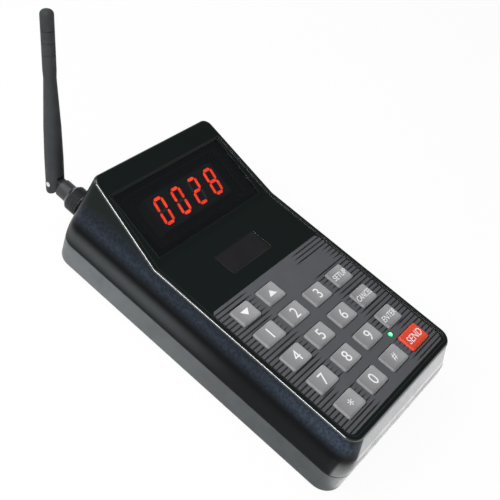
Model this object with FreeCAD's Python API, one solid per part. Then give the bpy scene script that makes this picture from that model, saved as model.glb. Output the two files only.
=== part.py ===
import FreeCAD, Part
import math
import os

# Desktop paging transmitter: a wedge-fronted plastic case with an 18-key pad, a four-digit
# display on a raised deck, a status lamp and a swivelling whip aerial on the back wall.
# Millimetres. X runs to the right, Y from the keypad to the display, Z up from the desk.

# Case envelope
case_width = 104.14
case_depth = 177.25
foot_stand = 1.0
lower_height = 14.0
upper_height = 21.7
upright_band = 5.0
knee_steps = 4
wall = 2.5
plan_radius = 10.0
side_draft_share = 0.307
front_draft_share = 0.305
back_draft_share = 0.10
plan_taper_share = 0.18
lower_draft_share = 0.03
deck_angle = 16.88
deck_length = 52.6
crease_round = 5.0
rim_round = 1.6
bottom_round = 2.4
headroom = 4.0

# Parting line: tongue in the lower half, shadow line under the upper half
tongue_height = 2.0
tongue_thickness = 1.1
tongue_clearance = 0.15
tongue_pillar_gap = 0.3
shadow_height = 0.5
shadow_depth = 0.7

# Top deck: one sunken field inside a raised rim
deck_thickness = 4.0
rim_width = 2.3
field_depth = 0.9
field_corner = 4.0
field_end_gap = 0.8

# Keypad: the face sheet fills the field up to the name band, and the keys fill the sheet
overlay_side_gap = 1.24
overlay_front_gap = 1.6
name_band = 32.6
key_side_margin = 5.4
key_front_margin = 5.215
key_rear_margin = 4.815
key_column_gap = 5.2
key_row_gap = 5.39
arrow_row_closer = 0.99
function_key_less = 1.3
send_key_extra = 1.2
key_corner = 1.3
key_edge_round = 0.45
key_clearance = 0.3
key_travel = 0.5
key_lug = 1.2
key_lug_thickness = 1.0
key_lug_gap = 0.3
overlay_corner = 2.75
overlay_thickness = 0.5
overlay_clearance = 0.1

# Key mat: rubber sheet with one dome under each key
mat_thickness = 1.0
mat_margin = 1.0
dome_base_radius = 4.2
dome_top_radius = 2.8
dome_height = 0.9
dome_spare_gap = 0.1
mat_hole_clearance = 0.5

# Status lamp
lamp_right = 1.4
lamp_back = 0.89
lamp_radius = 1.5
lamp_flange_radius = 1.9
lamp_flange_height = 1.0
lamp_proud = 0.3
lamp_clearance = 0.2

# Bare name recess and its plate
plate_width = 30.7
plate_length = 12.8
plate_from_crease = 17.1
plate_pocket_depth = 0.6
plate_thickness = 0.25
plate_corner = 0.8
plate_clearance = 0.1

# Display
window_side_gap = 5.04
window_start = 3.9
window_rear_gap = 13.0
window_thickness = 1.5
window_sink = 0.5
window_corner = 0.9
window_clearance = 0.1
sight_side_ledge = 5.6
sight_end_ledge = 3.1
sight_corner = 1.5
digit_count = 4
digit_left_margin = 9.9
digit_right_margin = 7.2
digit_end_gap = 5.25
digit_back = 0.22
digit_gap = 0.1
digit_depth = 8.0
digit_window_gap = 0.2
segment_recess = 0.3
numeral_side_share = 0.2228
numeral_end_share = 0.1092
segment_thickness_share = 0.127
segment_slant = 9.0
segment_gap = 0.25
display_board_side_gap = 0.2
display_board_end_gap = 1.35

# Circuit boards and their fixings
board_thickness = 1.6
main_board_side_gap = 1.0
main_board_front_reach = 1.6
main_board_rear_gap = 5.8
stud_radius = 2.3
stud_front_inset = 2.6
stud_side_inset = 5.5
stud_past_overlay = 7.8
display_stud_side_inset = 2.9
display_stud_end_inset = 3.0
board_screw_radius = 1.1
board_screw_head_radius = 2.2
board_screw_head_height = 1.4
board_screw_length = 5.0

# Case screws from below and the pillars that take them
pillar_radius = 3.5
pillar_side_inset = 8.07
pillar_front_inset = 11.9
pillar_back_inset = 13.0
pillar_top_drop = 8.0
case_screw_radius = 1.3
case_screw_head_radius = 2.8
case_screw_head_height = 2.0
case_screw_length = 18.0
counterbore_radius = 3.2
counterbore_depth = 4.5
screw_clearance_radius = 1.8

# Rubber feet
foot_radius = 6.0
foot_seat_depth = 0.8
foot_edge_round = 0.5
foot_side_inset = 12.07
foot_front_inset = 30.0
foot_back_inset = 30.0

# Parts under the main board
chip_width = 14.0
chip_length = 14.0
chip_height = 2.2
chip_rear_inset = 63.0
capacitor_radius = 4.0
capacitor_height = 11.0
capacitor_spacing = 10.0
capacitor_side_inset = 17.5
capacitor_rear_inset = 15.0
regulator_width = 10.0
regulator_length = 9.0
regulator_height = 4.5
regulator_spacing = 20.0
crystal_width = 4.6
crystal_length = 11.0
crystal_height = 3.4
crystal_spacing = 16.0
beeper_radius = 6.0
beeper_height = 9.0
beeper_port_radius = 1.2
beeper_port_depth = 1.5
beeper_side_inset = 15.5
beeper_rear_inset = 25.0

# Ribbon between the main board and the display board
ribbon_width = 22.0
ribbon_thickness = 0.8
header_length = 5.0
header_height = 3.0
header_inset = 2.0

# Transmitter module on the case floor
module_width = 46.0
module_length = 32.0
module_side_gap = 8.57
module_from_back = 48.0
can_width = 30.0
can_length = 22.0
can_height = 5.0
can_wall = 0.4
post_radius = 2.6
post_height = 6.0
post_inset = 3.6

# Coaxial aerial socket in the back wall
aerial_side_inset = 16.07
aerial_above_parting = 10.2
seat_sink = 1.4
seat_radius = 7.6
pad_radius = 8.0
pad_thickness = 3.1
socket_flange_radius = 5.2
socket_flange_thickness = 1.6
socket_thread_radius = 3.17
socket_reach = 5.2
socket_bore_radius = 2.3
socket_bore_depth = 4.0
socket_contact_radius = 0.6
socket_inner_reach = 6.0
socket_nut_width = 9.0
socket_nut_thickness = 2.2
socket_hole_clearance = 0.1
socket_tail_radius = 2.2
socket_tail_length = 4.0

# Aerial: knurled nut, knuckle, hinge pin and whip
nut_gap = 0.5
nut_length = 8.2
nut_radius = 6.8
knurl_count = 28
knurl_depth = 0.45
nut_plain_band = 1.3
nut_lip_thickness = 2.2
nut_running_clearance = 0.08
knuckle_stem_radius = 2.6
knuckle_collar_radius = 3.0
knuckle_collar_thickness = 0.8
knuckle_radius = 4.6
knuckle_length = 6.6
knuckle_edge_round = 0.4
knuckle_gap = 0.3
hinge_from_back = 21.0
tongue_width = 4.0
tongue_radius = 3.6
fork_radius = 5.0
fork_side_gap = 0.2
fork_floor_gap = 0.5
fork_cheek_length = 13.0
pin_radius = 1.25
pin_proud = 0.15
pin_running_clearance = 0.05
whip_length = 87.3
whip_angle = 72.0
whip_foot_radius = 4.6
whip_belly_radius = 4.25
whip_neck_radius = 3.05
whip_tip_radius = 3.25
whip_tip_round = 2.4
whip_belly_share = 0.34
whip_neck_share = 0.63
whip_head_share = 0.67
whip_ring_shares = (0.76, 0.825, 0.89)
whip_ring_width = 0.5
whip_ring_depth = 0.25

# Inner coaxial lead from the module to the socket
lead_radius = 1.0
lead_bend = 6.0
lead_from_can = 2.6
lead_rise = 9.0

# Power inlet in the back wall
inlet_side_inset = 26.07
inlet_flange_radius = 6.6
inlet_flange_thickness = 1.4
inlet_body_radius = 5.4
inlet_inner_reach = 12.0
inlet_bore_radius = 3.15
inlet_bore_depth = 10.0
inlet_pin_radius = 1.05
inlet_pin_short = 1.0
inlet_nut_radius = 7.6
inlet_nut_thickness = 2.4
inlet_lead_radius = 0.8
inlet_lead_spacing = 5.0
inlet_lead_bend = 4.0
inlet_lug_length = 3.0

# Cuts run past the faces they open by this much
overrun = 1.0

# The keys by row, from the back row to the front row; the arrow keys stand behind them
key_rows = (
    ("key_1", "key_2", "key_3", "key_setup"),
    ("key_4", "key_5", "key_6", "key_cancel"),
    ("key_7", "key_8", "key_9", "key_enter"),
    ("key_star", "key_0", "key_hash", "key_send"),
)
arrow_keys = ("key_down", "key_up")

# Places worked out from the sizes above
half_width = case_width / 2
deck_rise = math.radians(deck_angle)
lean = math.radians(whip_angle)
tip_along = (whip_length - whip_tip_round) * math.cos(lean)
tip_across = (whip_tip_radius - whip_tip_round) * math.sin(lean)
aerial_reach = hinge_from_back + tip_along + tip_across + whip_tip_round
front_y = -(case_depth + aerial_reach) / 2
back_y = front_y + case_depth
floor_z = foot_stand
parting_z = floor_z + lower_height
band_z = parting_z + upright_band
rim_z = parting_z + upper_height
deck_top_z = rim_z + deck_length * math.sin(deck_rise)
crease_y = back_y - back_draft_share * (deck_top_z - band_z) - deck_length * math.cos(deck_rise)
top_z = deck_top_z + headroom
rim_half = half_width - side_draft_share * (rim_z - band_z)
rim_front_y = front_y + front_draft_share * (rim_z - band_z)
field_half = rim_half - rim_width
field_front_y = rim_front_y + rim_width
field_z = rim_z - field_depth

# Face sheet and keys
overlay_half = field_half - overlay_side_gap
overlay_front_y = field_front_y + overlay_front_gap
overlay_rear_y = crease_y - name_band
overlay_y = (overlay_front_y + overlay_rear_y) / 2
overlay_length = overlay_rear_y - overlay_front_y
shelf_z = field_z - overlay_thickness
columns = len(key_rows[0])
rows = len(key_rows)
key_span = overlay_half - key_side_margin + (key_column_gap - send_key_extra) / 2
column_pitch = key_span * 2 / columns
key_run = overlay_length - key_front_margin - key_rear_margin + arrow_row_closer + key_row_gap
row_pitch = key_run / (rows + 1)
number_key_width = column_pitch - key_column_gap
key_length = row_pitch - key_row_gap
front_row_y = overlay_front_y + key_front_margin + key_length / 2
lamp_x = (columns / 2 - 1) * column_pitch + lamp_right
lamp_y = front_row_y + row_pitch / 2 + lamp_back
plate_y = crease_y - plate_from_crease

# Heights below the keys
deck_under_z = rim_z - deck_thickness
lug_top_z = deck_under_z - key_lug_gap
lug_bottom_z = lug_top_z - key_lug_thickness
dome_top_z = lug_bottom_z - key_travel - dome_spare_gap
mat_top_z = dome_top_z - dome_height
board_top_z = mat_top_z - mat_thickness
board_under_z = board_top_z - board_thickness

# Display: depths are measured from the rim, places along the deck from the crease
window_face_depth = field_depth + window_sink
window_seat_depth = window_face_depth + window_thickness
digit_face_depth = window_seat_depth + digit_window_gap
display_board_depth = digit_face_depth + digit_depth
window_width = (field_half - window_side_gap) * 2
window_length = deck_length - window_start - window_rear_gap
window_middle = window_start + window_length / 2
field_deck_end = window_start + window_length + field_end_gap
sight_width = window_width - sight_side_ledge * 2
sight_length = window_length - sight_end_ledge * 2
digit_pitch = (sight_width - digit_left_margin - digit_right_margin) / digit_count
digit_width = digit_pitch - digit_gap
digit_length = sight_length - digit_end_gap * 2
digit_along = window_middle + digit_back
display_board_width = window_width - display_board_side_gap * 2
display_board_start = window_start + display_board_end_gap
display_board_length = window_length - display_board_end_gap * 2

# Inside the case
pillar_x = half_width - pillar_side_inset
main_board_half = pillar_x - pillar_radius - main_board_side_gap
board_front_y = overlay_front_y - main_board_front_reach
board_rear_y = crease_y - main_board_rear_gap
chip_y = board_rear_y - chip_rear_inset
capacitor_x = main_board_half - capacitor_side_inset
capacitor_y = board_rear_y - capacitor_rear_inset
module_x = module_width / 2 + module_side_gap + wall - half_width
module_y = back_y - module_from_back
module_floor_z = floor_z + wall + post_height
module_top_z = module_floor_z + board_thickness

# Back wall
aerial_x = aerial_side_inset - half_width
inlet_x = half_width - inlet_side_inset
aerial_z = parting_z + aerial_above_parting
seat_y = back_y - seat_sink
pad_y = seat_y - pad_thickness
socket_end_y = seat_y + socket_flange_thickness + socket_reach
nut_start_y = seat_y + socket_flange_thickness + nut_gap
nut_end_y = nut_start_y + nut_length
hinge_y = back_y + hinge_from_back
up = FreeCAD.Vector(0, 0, 1)
back = FreeCAD.Vector(0, 1, 0)
right = FreeCAD.Vector(1, 0, 0)


def at(x, y, z):
    """A point in the part's frame."""
    return FreeCAD.Vector(x, y, z)


def box(x0, x1, y0, y1, z0, z1):
    """A box between two opposite corners."""
    return Part.makeBox(x1 - x0, y1 - y0, z1 - z0, at(x0, y0, z0))


def rounded_outline(half_x, y0, y1, radius, z):
    """A closed rounded rectangle, symmetric in X, in the horizontal plane at z."""
    middle = (y0 + y1) / 2
    half_y = (y1 - y0) / 2
    lobe = radius * (1 - math.sqrt(1 / 2))
    edges = []
    for side_x, side_y in ((1, -1), (1, 1), (-1, 1), (-1, -1)):
        across = at(side_x * (half_x - radius), middle + side_y * half_y, z)
        along = at(side_x * half_x, middle + side_y * (half_y - radius), z)
        bulge = at(side_x * (half_x - lobe), middle + side_y * (half_y - lobe), z)
        first, last = (across, along) if side_x * side_y < 0 else (along, across)
        edges.append((first, bulge, last))
    parts = []
    for index, (first, bulge, last) in enumerate(edges):
        parts.append(Part.Arc(first, bulge, last).toShape())
        parts.append(Part.makeLine(last, edges[(index + 1) % len(edges)][0]))
    return Part.Wire(parts)


def slab(centre_x, centre_y, width, length, radius, z0, z1):
    """A flat plate with rounded corners between two heights."""
    outline = rounded_outline(width / 2, centre_y - length / 2, centre_y + length / 2, radius, z0)
    plate = Part.Face(outline).extrude(up * (z1 - z0))
    plate.translate(at(centre_x, 0, 0))
    return plate


def rod(base, direction, radius, length):
    """A cylinder from a base point along a direction."""
    return Part.makeCylinder(radius, length, base, direction)


def turned(profile, axis_point, axis_direction):
    """A solid of revolution from (distance along the axis, radius) points of a closed section."""
    helper = FreeCAD.Rotation(at(1, 0, 0), axis_direction)
    points = [axis_point + helper.multVec(at(along, radius, 0)) for along, radius in profile]
    section = Part.Face(Part.makePolygon(points + points[:1]))
    return section.revolve(axis_point, axis_direction, 360)


def prism(points, start_x, width):
    """A solid from an outline of (y, z) points, extruded along X."""
    corners = [at(start_x, y, z) for y, z in points]
    return Part.Face(Part.makePolygon(corners + corners[:1])).extrude(right * width)


def tilt_to_deck(shape):
    """Turn a shape built level, with Y along the slope and Z zero at the rim, onto the display deck."""
    shape.rotate(at(0, 0, 0), right, deck_angle)
    shape.translate(at(0, crease_y, rim_z))
    return shape


def under_top(top_inset):
    """All space below the top as seen from the side: level, soft crease, then the display deck."""
    level = rim_z - top_inset
    radius = crease_round + top_inset
    tangent = radius * math.tan(deck_rise / 2)
    crease = crease_y + top_inset * math.tan(deck_rise / 2)
    far_y = crease + case_depth * math.cos(deck_rise)
    far_z = level + case_depth * math.sin(deck_rise)

    def on_arc(angle):
        across = crease - tangent + radius * math.sin(angle)
        return at(-case_width, across, level + radius - radius * math.cos(angle))

    start = on_arc(0)
    end = on_arc(deck_rise)
    corners = [
        at(-case_width, far_y, far_z),
        at(-case_width, far_y, -overrun),
        at(-case_width, front_y - overrun, -overrun),
        at(-case_width, front_y - overrun, level),
    ]
    bend = Part.Arc(start, on_arc(deck_rise / 2), end).toShape()
    straight = Part.makePolygon([end] + corners + [start])
    outline = Part.Wire([bend] + straight.Edges)
    return Part.Face(outline).extrude(right * (case_width * 2))


def wall_outline(rise, inset, z):
    """The walls' outline at height z, drawn in as far as the taper has come after a rise."""
    return rounded_outline(
        half_width - inset - side_draft_share * rise,
        front_y + inset + front_draft_share * rise,
        back_y - inset - back_draft_share * rise,
        plan_radius - inset - plan_taper_share * rise,
        z,
    )


def upper_form(inset, top_inset):
    """The upper half's tapered outer form, or the space inside it when inset."""
    band = Part.Face(wall_outline(0, inset, parting_z)).extrude(up * upright_band)
    head = wall_outline(top_z - band_z, inset, top_z)
    taper = Part.makeLoft([wall_outline(0, inset, band_z), head], True, True)
    return band.fuse(taper).removeSplitter().common(under_top(top_inset))


def soften_knee(form):
    """Let the upright walls bend gently into the tapered ones instead of at an edge."""
    bend_height = upright_band * 2
    sections = []
    for step in range(knee_steps + 1):
        climb = step / knee_steps
        sections.append(wall_outline(upright_band * climb ** 2, 0, parting_z + bend_height * climb))
    bend = Part.makeLoft(sections, True, False)
    low_z = parting_z + bend_height
    above = form.common(box(-case_width, case_width, front_y, back_y, low_z, top_z))
    return above.fuse(bend).removeSplitter()


def faces_up(face):
    """Whether a face is part of the level top, the crease or the display deck."""
    first_u, last_u, first_v, last_v = face.ParameterRange
    normal = face.normalAt((first_u + last_u) / 2, (first_v + last_v) / 2)
    return normal.z > math.cos(deck_rise + deck_rise / 4)


def round_top(form):
    """Round the rim all along the top."""
    top_edges = []
    for face in form.Faces:
        if faces_up(face):
            top_edges.extend(face.Edges)
    rim_edges = []
    for edge in top_edges:
        shared = [other for other in top_edges if other.isSame(edge)]
        if len(shared) == 1:
            rim_edges.append(edge)
    return form.makeFillet(rim_round, rim_edges)


def field_cut(depth):
    """The sunken field inside the rim, over the level top and up the display deck."""
    crease = crease_y + depth * math.tan(deck_rise / 2)
    length = crease_y - field_front_y + field_corner * 2
    low = -depth - overrun
    level = slab(
        0,
        field_front_y + length / 2,
        field_half * 2,
        length,
        field_corner,
        rim_z + low,
        rim_z + overrun,
    )
    level = level.common(box(-half_width, half_width, front_y, crease, 0, top_z))
    narrow = side_draft_share * field_deck_end * math.sin(deck_rise)
    points = [
        at(-field_half, low, low),
        at(field_half, low, low),
        at(field_half, 0, low),
        at(field_half - narrow, field_deck_end, low),
        at(-field_half + narrow, field_deck_end, low),
        at(-field_half, 0, low),
    ]
    face = Part.Face(Part.makePolygon(points + points[:1]))
    slope = tilt_to_deck(face.extrude(up * (overrun - low)))
    slope = slope.common(box(-half_width, half_width, crease, back_y, 0, top_z))
    solid_below = under_top(depth)
    return [level.cut(solid_below), slope.cut(solid_below)]


def column_x(column):
    """Where a key column stands."""
    return (column - (columns - 1) / 2) * column_pitch


def key_places():
    """Every key as name, centre x, centre y and width."""
    places = []
    for row, names in enumerate(key_rows):
        y = front_row_y + (rows - 1 - row) * row_pitch
        for column, name in enumerate(names):
            width = number_key_width
            if column == columns - 1:
                width -= function_key_less
            if name == "key_send":
                width = number_key_width + send_key_extra
            places.append((name, column_x(column), y, width))
    arrow_y = front_row_y + rows * row_pitch - arrow_row_closer
    for column, name in enumerate(arrow_keys):
        places.append((name, column_x(column), arrow_y, number_key_width - function_key_less))
    return places


keys = key_places()
pillar_places = [
    (side * pillar_x, y)
    for side in (-1, 1)
    for y in (front_y + pillar_front_inset, back_y - pillar_back_inset)
]
foot_places = [
    (side * (half_width - foot_side_inset), y)
    for side in (-1, 1)
    for y in (front_y + foot_front_inset, back_y - foot_back_inset)
]
stud_places = [
    (side * x, y)
    for side in (-1, 1)
    for x, y in (
        (column_pitch, board_front_y + stud_front_inset),
        (main_board_half - stud_side_inset, overlay_rear_y + stud_past_overlay),
    )
]
display_stud_places = [
    (side * (display_board_width / 2 - display_stud_side_inset), along)
    for side in (-1, 1)
    for along in (
        display_board_start + display_stud_end_inset,
        display_board_start + display_board_length - display_stud_end_inset,
    )
]
post_places = [
    (x, y)
    for x in (module_x - module_width / 2 + post_inset, module_x + module_width / 2 - post_inset)
    for y in (module_y - module_length / 2 + post_inset, module_y + module_length / 2 - post_inset)
]


def through_apertures(bottom_z, height):
    """Clearance cuts for every key and for the lamp."""
    cuts = []
    for _, x, y, width in keys:
        cuts.append(
            slab(
                x,
                y,
                width + 2 * key_clearance,
                key_length + 2 * key_clearance,
                key_corner + key_clearance,
                bottom_z,
                bottom_z + height,
            )
        )
    cuts.append(rod(at(lamp_x, lamp_y, bottom_z), up, lamp_radius + lamp_clearance, height))
    return cuts


def upper_additions():
    """Pillars, studs and wall pads that grow from the inside of the upper half."""
    additions = []
    for x, y in pillar_places:
        additions.append(rod(at(x, y, parting_z), up, pillar_radius, upper_height - pillar_top_drop))
    stud_length = deck_under_z - board_top_z + overrun
    for x, y in stud_places:
        additions.append(rod(at(x, y, board_top_z), up, stud_radius, stud_length))
    stud_length = display_board_depth - deck_thickness + overrun
    for x, along in display_stud_places:
        stud = rod(at(x, along, -display_board_depth), up, stud_radius, stud_length)
        additions.append(tilt_to_deck(stud))
    for x in (aerial_x, inlet_x):
        additions.append(rod(at(x, pad_y, aerial_z), back, pad_radius, pad_thickness))
    return additions


def deck_cuts():
    """Pockets and openings in the top: field, face sheet, name plate, window, keys and lamp."""
    cuts = field_cut(field_depth)
    cuts.append(
        slab(
            0,
            overlay_y,
            (overlay_half + overlay_clearance) * 2,
            overlay_length + overlay_clearance * 2,
            overlay_corner,
            shelf_z,
            rim_z,
        )
    )
    cuts.append(
        slab(
            0,
            plate_y,
            plate_width + plate_clearance * 2,
            plate_length + plate_clearance * 2,
            plate_corner,
            field_z - plate_pocket_depth,
            rim_z,
        )
    )
    window_seat = slab(
        0,
        window_middle,
        window_width + window_clearance * 2,
        window_length + window_clearance * 2,
        window_corner,
        -window_seat_depth,
        0,
    )
    cuts.append(tilt_to_deck(window_seat))
    sight = slab(
        0, window_middle, sight_width, sight_length, sight_corner, -deck_thickness - overrun, 0
    )
    cuts.append(tilt_to_deck(sight))
    cuts.extend(through_apertures(deck_under_z - overrun, deck_thickness + overrun * 2))
    return cuts


def screw_pilots():
    """Pilot holes for the case screws and the board screws in the upper half."""
    pilots = []
    depth = case_screw_length + counterbore_depth - lower_height + overrun * 2
    for x, y in pillar_places:
        pilots.append(rod(at(x, y, parting_z - overrun), up, case_screw_radius, depth))
    depth = board_screw_length - board_thickness + overrun * 2
    for x, y in stud_places:
        pilots.append(rod(at(x, y, board_top_z - overrun), up, board_screw_radius, depth))
    for x, along in display_stud_places:
        base = at(x, along, -display_board_depth - overrun)
        pilots.append(tilt_to_deck(rod(base, up, board_screw_radius, depth)))
    return pilots


def parting_cuts():
    """The shadow line round the outside of the parting and the groove for the tongue."""
    outer = rounded_outline(
        half_width + overrun,
        front_y - overrun,
        back_y + overrun,
        plan_radius + overrun,
        parting_z,
    )
    kept = rounded_outline(
        half_width - shadow_depth,
        front_y + shadow_depth,
        back_y - shadow_depth,
        plan_radius - shadow_depth,
        parting_z,
    )
    shadow = Part.Face([outer, kept.reversed()]).extrude(up * shadow_height)
    edge = wall - tongue_thickness - tongue_clearance
    groove = rounded_outline(
        half_width - edge, front_y + edge, back_y - edge, plan_radius - edge, parting_z
    )
    groove_cut = Part.Face(groove).extrude(up * (tongue_height + tongue_clearance))
    for x, y in pillar_places:
        groove_cut = groove_cut.cut(rod(at(x, y, parting_z), up, pillar_radius, upper_height))
    return [shadow, groove_cut]


def upper_casing():
    """Upper half: tapered shell, sunken deck, key apertures, display opening, studs and pillars."""
    shell = soften_knee(round_top(upper_form(0, 0)))
    shell = shell.cut(upper_form(wall, deck_thickness))
    shell = shell.fuse(upper_additions())
    cuts = deck_cuts() + screw_pilots() + parting_cuts()
    for x, hole in (
        (aerial_x, socket_thread_radius + socket_hole_clearance),
        (inlet_x, inlet_body_radius + socket_hole_clearance),
    ):
        cuts.append(rod(at(x, seat_y, aerial_z), back, seat_radius, seat_sink + overrun))
        cuts.append(rod(at(x, pad_y - overrun, aerial_z), back, hole, pad_thickness + overrun * 2))
    return shell.cut(cuts).removeSplitter()


def lower_casing():
    """Lower half: drafted tray with a rounded foot edge, tongue, screw pillars and module posts."""
    inward = lower_draft_share * lower_height
    foot = rounded_outline(
        half_width - inward, front_y + inward, back_y - inward, plan_radius - inward, floor_z
    )
    head = rounded_outline(half_width, front_y, back_y, plan_radius, parting_z)
    tray = Part.makeLoft([foot, head], True, True)
    low_edges = [edge for edge in tray.Edges if edge.BoundBox.ZMax < floor_z + bottom_round / 2]
    tray = tray.makeFillet(bottom_round, low_edges)
    inset = wall + inward
    hollow = rounded_outline(
        half_width - inset, front_y + inset, back_y - inset, plan_radius - inset, floor_z + wall
    )
    mouth = rounded_outline(
        half_width - wall, front_y + wall, back_y - wall, plan_radius - wall, parting_z
    )
    tray = tray.cut(Part.makeLoft([hollow, mouth], True, True))
    tongue_out = rounded_outline(
        half_width - wall + tongue_thickness,
        front_y + wall - tongue_thickness,
        back_y - wall + tongue_thickness,
        plan_radius - wall + tongue_thickness,
        parting_z,
    )
    tongue_in = rounded_outline(
        half_width - wall, front_y + wall, back_y - wall, plan_radius - wall, parting_z
    )
    tongue = Part.Face([tongue_out, tongue_in.reversed()]).extrude(up * tongue_height)
    for x, y in pillar_places:
        clear = pillar_radius + tongue_pillar_gap
        tongue = tongue.cut(rod(at(x, y, parting_z), up, clear, tongue_height + overrun))
    additions = [tongue]
    for x, y in pillar_places:
        base = at(x, y, floor_z + wall / 2)
        additions.append(rod(base, up, pillar_radius, lower_height - wall / 2))
    for x, y in post_places:
        additions.append(rod(at(x, y, floor_z + wall / 2), up, post_radius, post_height + wall / 2))
    tray = tray.fuse(additions)
    cuts = []
    for x, y in pillar_places:
        under = at(x, y, floor_z - overrun)
        cuts.append(rod(under, up, counterbore_radius, counterbore_depth + overrun))
        cuts.append(rod(under, up, screw_clearance_radius, lower_height + overrun * 2))
    for x, y in post_places:
        cuts.append(rod(at(x, y, floor_z + wall), up, board_screw_radius, post_height + overrun))
    for x, y in foot_places:
        cuts.append(rod(at(x, y, floor_z - overrun), up, foot_radius, foot_seat_depth + overrun))
    return tray.cut(cuts).removeSplitter()


def rubber_feet():
    """Four round feet seated in recesses in the underside; their lower faces rest on the desk."""
    feet = []
    for x, y in foot_places:
        foot = rod(at(x, y, 0), up, foot_radius, foot_stand + foot_seat_depth)
        low_edges = [edge for edge in foot.Edges if edge.BoundBox.ZMax < foot_edge_round / 2]
        feet.append(foot.makeFillet(foot_edge_round, low_edges))
    return Part.makeCompound(feet)


def screw(tip, direction, radius, length, head_radius, head_height):
    """A pan-head screw whose tip lies at a point, pointing along a direction."""
    reverse = direction * -1
    shank = rod(tip, reverse, radius, length)
    head = rod(tip + reverse * length, reverse, head_radius, head_height)
    return shank.fuse(head).removeSplitter()


def case_screws():
    """Four long screws from the underside into the upper half's pillars."""
    screws = []
    for x, y in pillar_places:
        tip = at(x, y, floor_z + counterbore_depth + case_screw_length)
        head = (case_screw_head_radius, case_screw_head_height)
        screws.append(screw(tip, up, case_screw_radius, case_screw_length, *head))
    return Part.makeCompound(screws)


def board_screw(tip, direction):
    """A short pan-head screw whose tip lies at a point."""
    head = (board_screw_head_radius, board_screw_head_height)
    return screw(tip, direction, board_screw_radius, board_screw_length, *head)


def board_screws():
    """Short screws that hold the main board, the display board and the transmitter module."""
    screws = []
    for x, y in stud_places:
        screws.append(board_screw(at(x, y, board_under_z + board_screw_length), up))
    for x, along in display_stud_places:
        depth = display_board_depth + board_thickness - board_screw_length
        screws.append(tilt_to_deck(board_screw(at(x, along, -depth), up)))
    for x, y in post_places:
        screws.append(board_screw(at(x, y, module_top_z - board_screw_length), up * -1))
    return Part.makeCompound(screws)


def keypad_overlay():
    """Thin printed face sheet with an aperture for each key and the lamp."""
    sheet = slab(0, overlay_y, overlay_half * 2, overlay_length, overlay_corner, shelf_z, field_z)
    return sheet.cut(through_apertures(shelf_z - overrun, overlay_thickness + 2 * overrun))


def keypad_mat():
    """Rubber sheet on the main board with a dome under each key and a hole for the lamp."""
    front = min(y for _, _, y, _ in keys) - key_length / 2 - mat_margin
    rear = max(y for _, _, y, _ in keys) + key_length / 2 + mat_margin
    reach = max(x + width / 2 for _, x, _, width in keys) + mat_margin / 2
    sheet = slab(0, (front + rear) / 2, 2 * reach, rear - front, key_corner, board_top_z, mat_top_z)
    domes = []
    for _, x, y, _ in keys:
        domes.append(
            Part.makeCone(dome_base_radius, dome_top_radius, dome_height, at(x, y, mat_top_z))
        )
    hole = rod(
        at(lamp_x, lamp_y, board_top_z - overrun),
        up,
        lamp_flange_radius + mat_hole_clearance,
        mat_thickness + 2 * overrun,
    )
    return sheet.fuse(domes).cut(hole).removeSplitter()


def key_cap(x, y, width):
    """One key: a soft-edged cap flush with the rim, with a retaining lug on each side below the deck."""
    cap = slab(x, y, width, key_length, key_corner, lug_bottom_z, rim_z)
    top_edges = [edge for edge in cap.Edges if edge.BoundBox.ZMin > rim_z - key_edge_round]
    cap = cap.makeFillet(key_edge_round, top_edges)
    lug_half = width / 2 + key_lug
    lug_length = key_length - 2 * key_corner
    front = y - lug_length / 2
    lug = box(x - lug_half, x + lug_half, front, front + lug_length, lug_bottom_z, lug_top_z)
    return cap.fuse(lug).removeSplitter()


def status_lamp():
    """Round lamp standing on the main board, its dome just above the face sheet."""
    dome_z = field_z + lamp_proud - lamp_radius
    lamp = rod(at(lamp_x, lamp_y, board_top_z), up, lamp_radius, dome_z - board_top_z)
    flange = rod(at(lamp_x, lamp_y, board_top_z), up, lamp_flange_radius, lamp_flange_height)
    dome = Part.makeSphere(lamp_radius, at(lamp_x, lamp_y, dome_z))
    return lamp.fuse([flange, dome]).removeSplitter()


def name_plate():
    """Bare plate lying in the shallow recess between the keypad and the display."""
    floor = field_z - plate_pocket_depth
    return slab(0, plate_y, plate_width, plate_length, plate_corner, floor, floor + plate_thickness)


def display_window():
    """Dark filter seated in its ledge on the display deck."""
    pane = slab(
        0,
        window_middle,
        window_width,
        window_length,
        window_corner,
        -window_seat_depth,
        -window_face_depth,
    )
    return tilt_to_deck(pane)


def segment_outlines():
    """The seven segments of a numeral, as closed lists of (x, y) points about its middle."""
    half_x = digit_width * (1 / 2 - numeral_side_share)
    half_y = digit_length * (1 / 2 - numeral_end_share)
    half = digit_width * segment_thickness_share / 2
    gap = segment_gap
    outlines = []
    for y in (-half_y + half, 0, half_y - half):
        left = -half_x + half + gap
        right_end = half_x - half - gap
        outlines.append(
            [
                (left, y),
                (left + half, y + half),
                (right_end - half, y + half),
                (right_end, y),
                (right_end - half, y - half),
                (left + half, y - half),
            ]
        )
    for x in (-half_x + half, half_x - half):
        for low, high in ((-half_y + half, 0), (0, half_y - half)):
            start = low + gap
            end = high - gap
            outlines.append(
                [
                    (x, start),
                    (x + half, start + half),
                    (x + half, end - half),
                    (x, end),
                    (x - half, end - half),
                    (x - half, start + half),
                ]
            )
    slant = math.tan(math.radians(segment_slant))
    return [[(x + slant * y, y) for x, y in outline] for outline in outlines]


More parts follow.
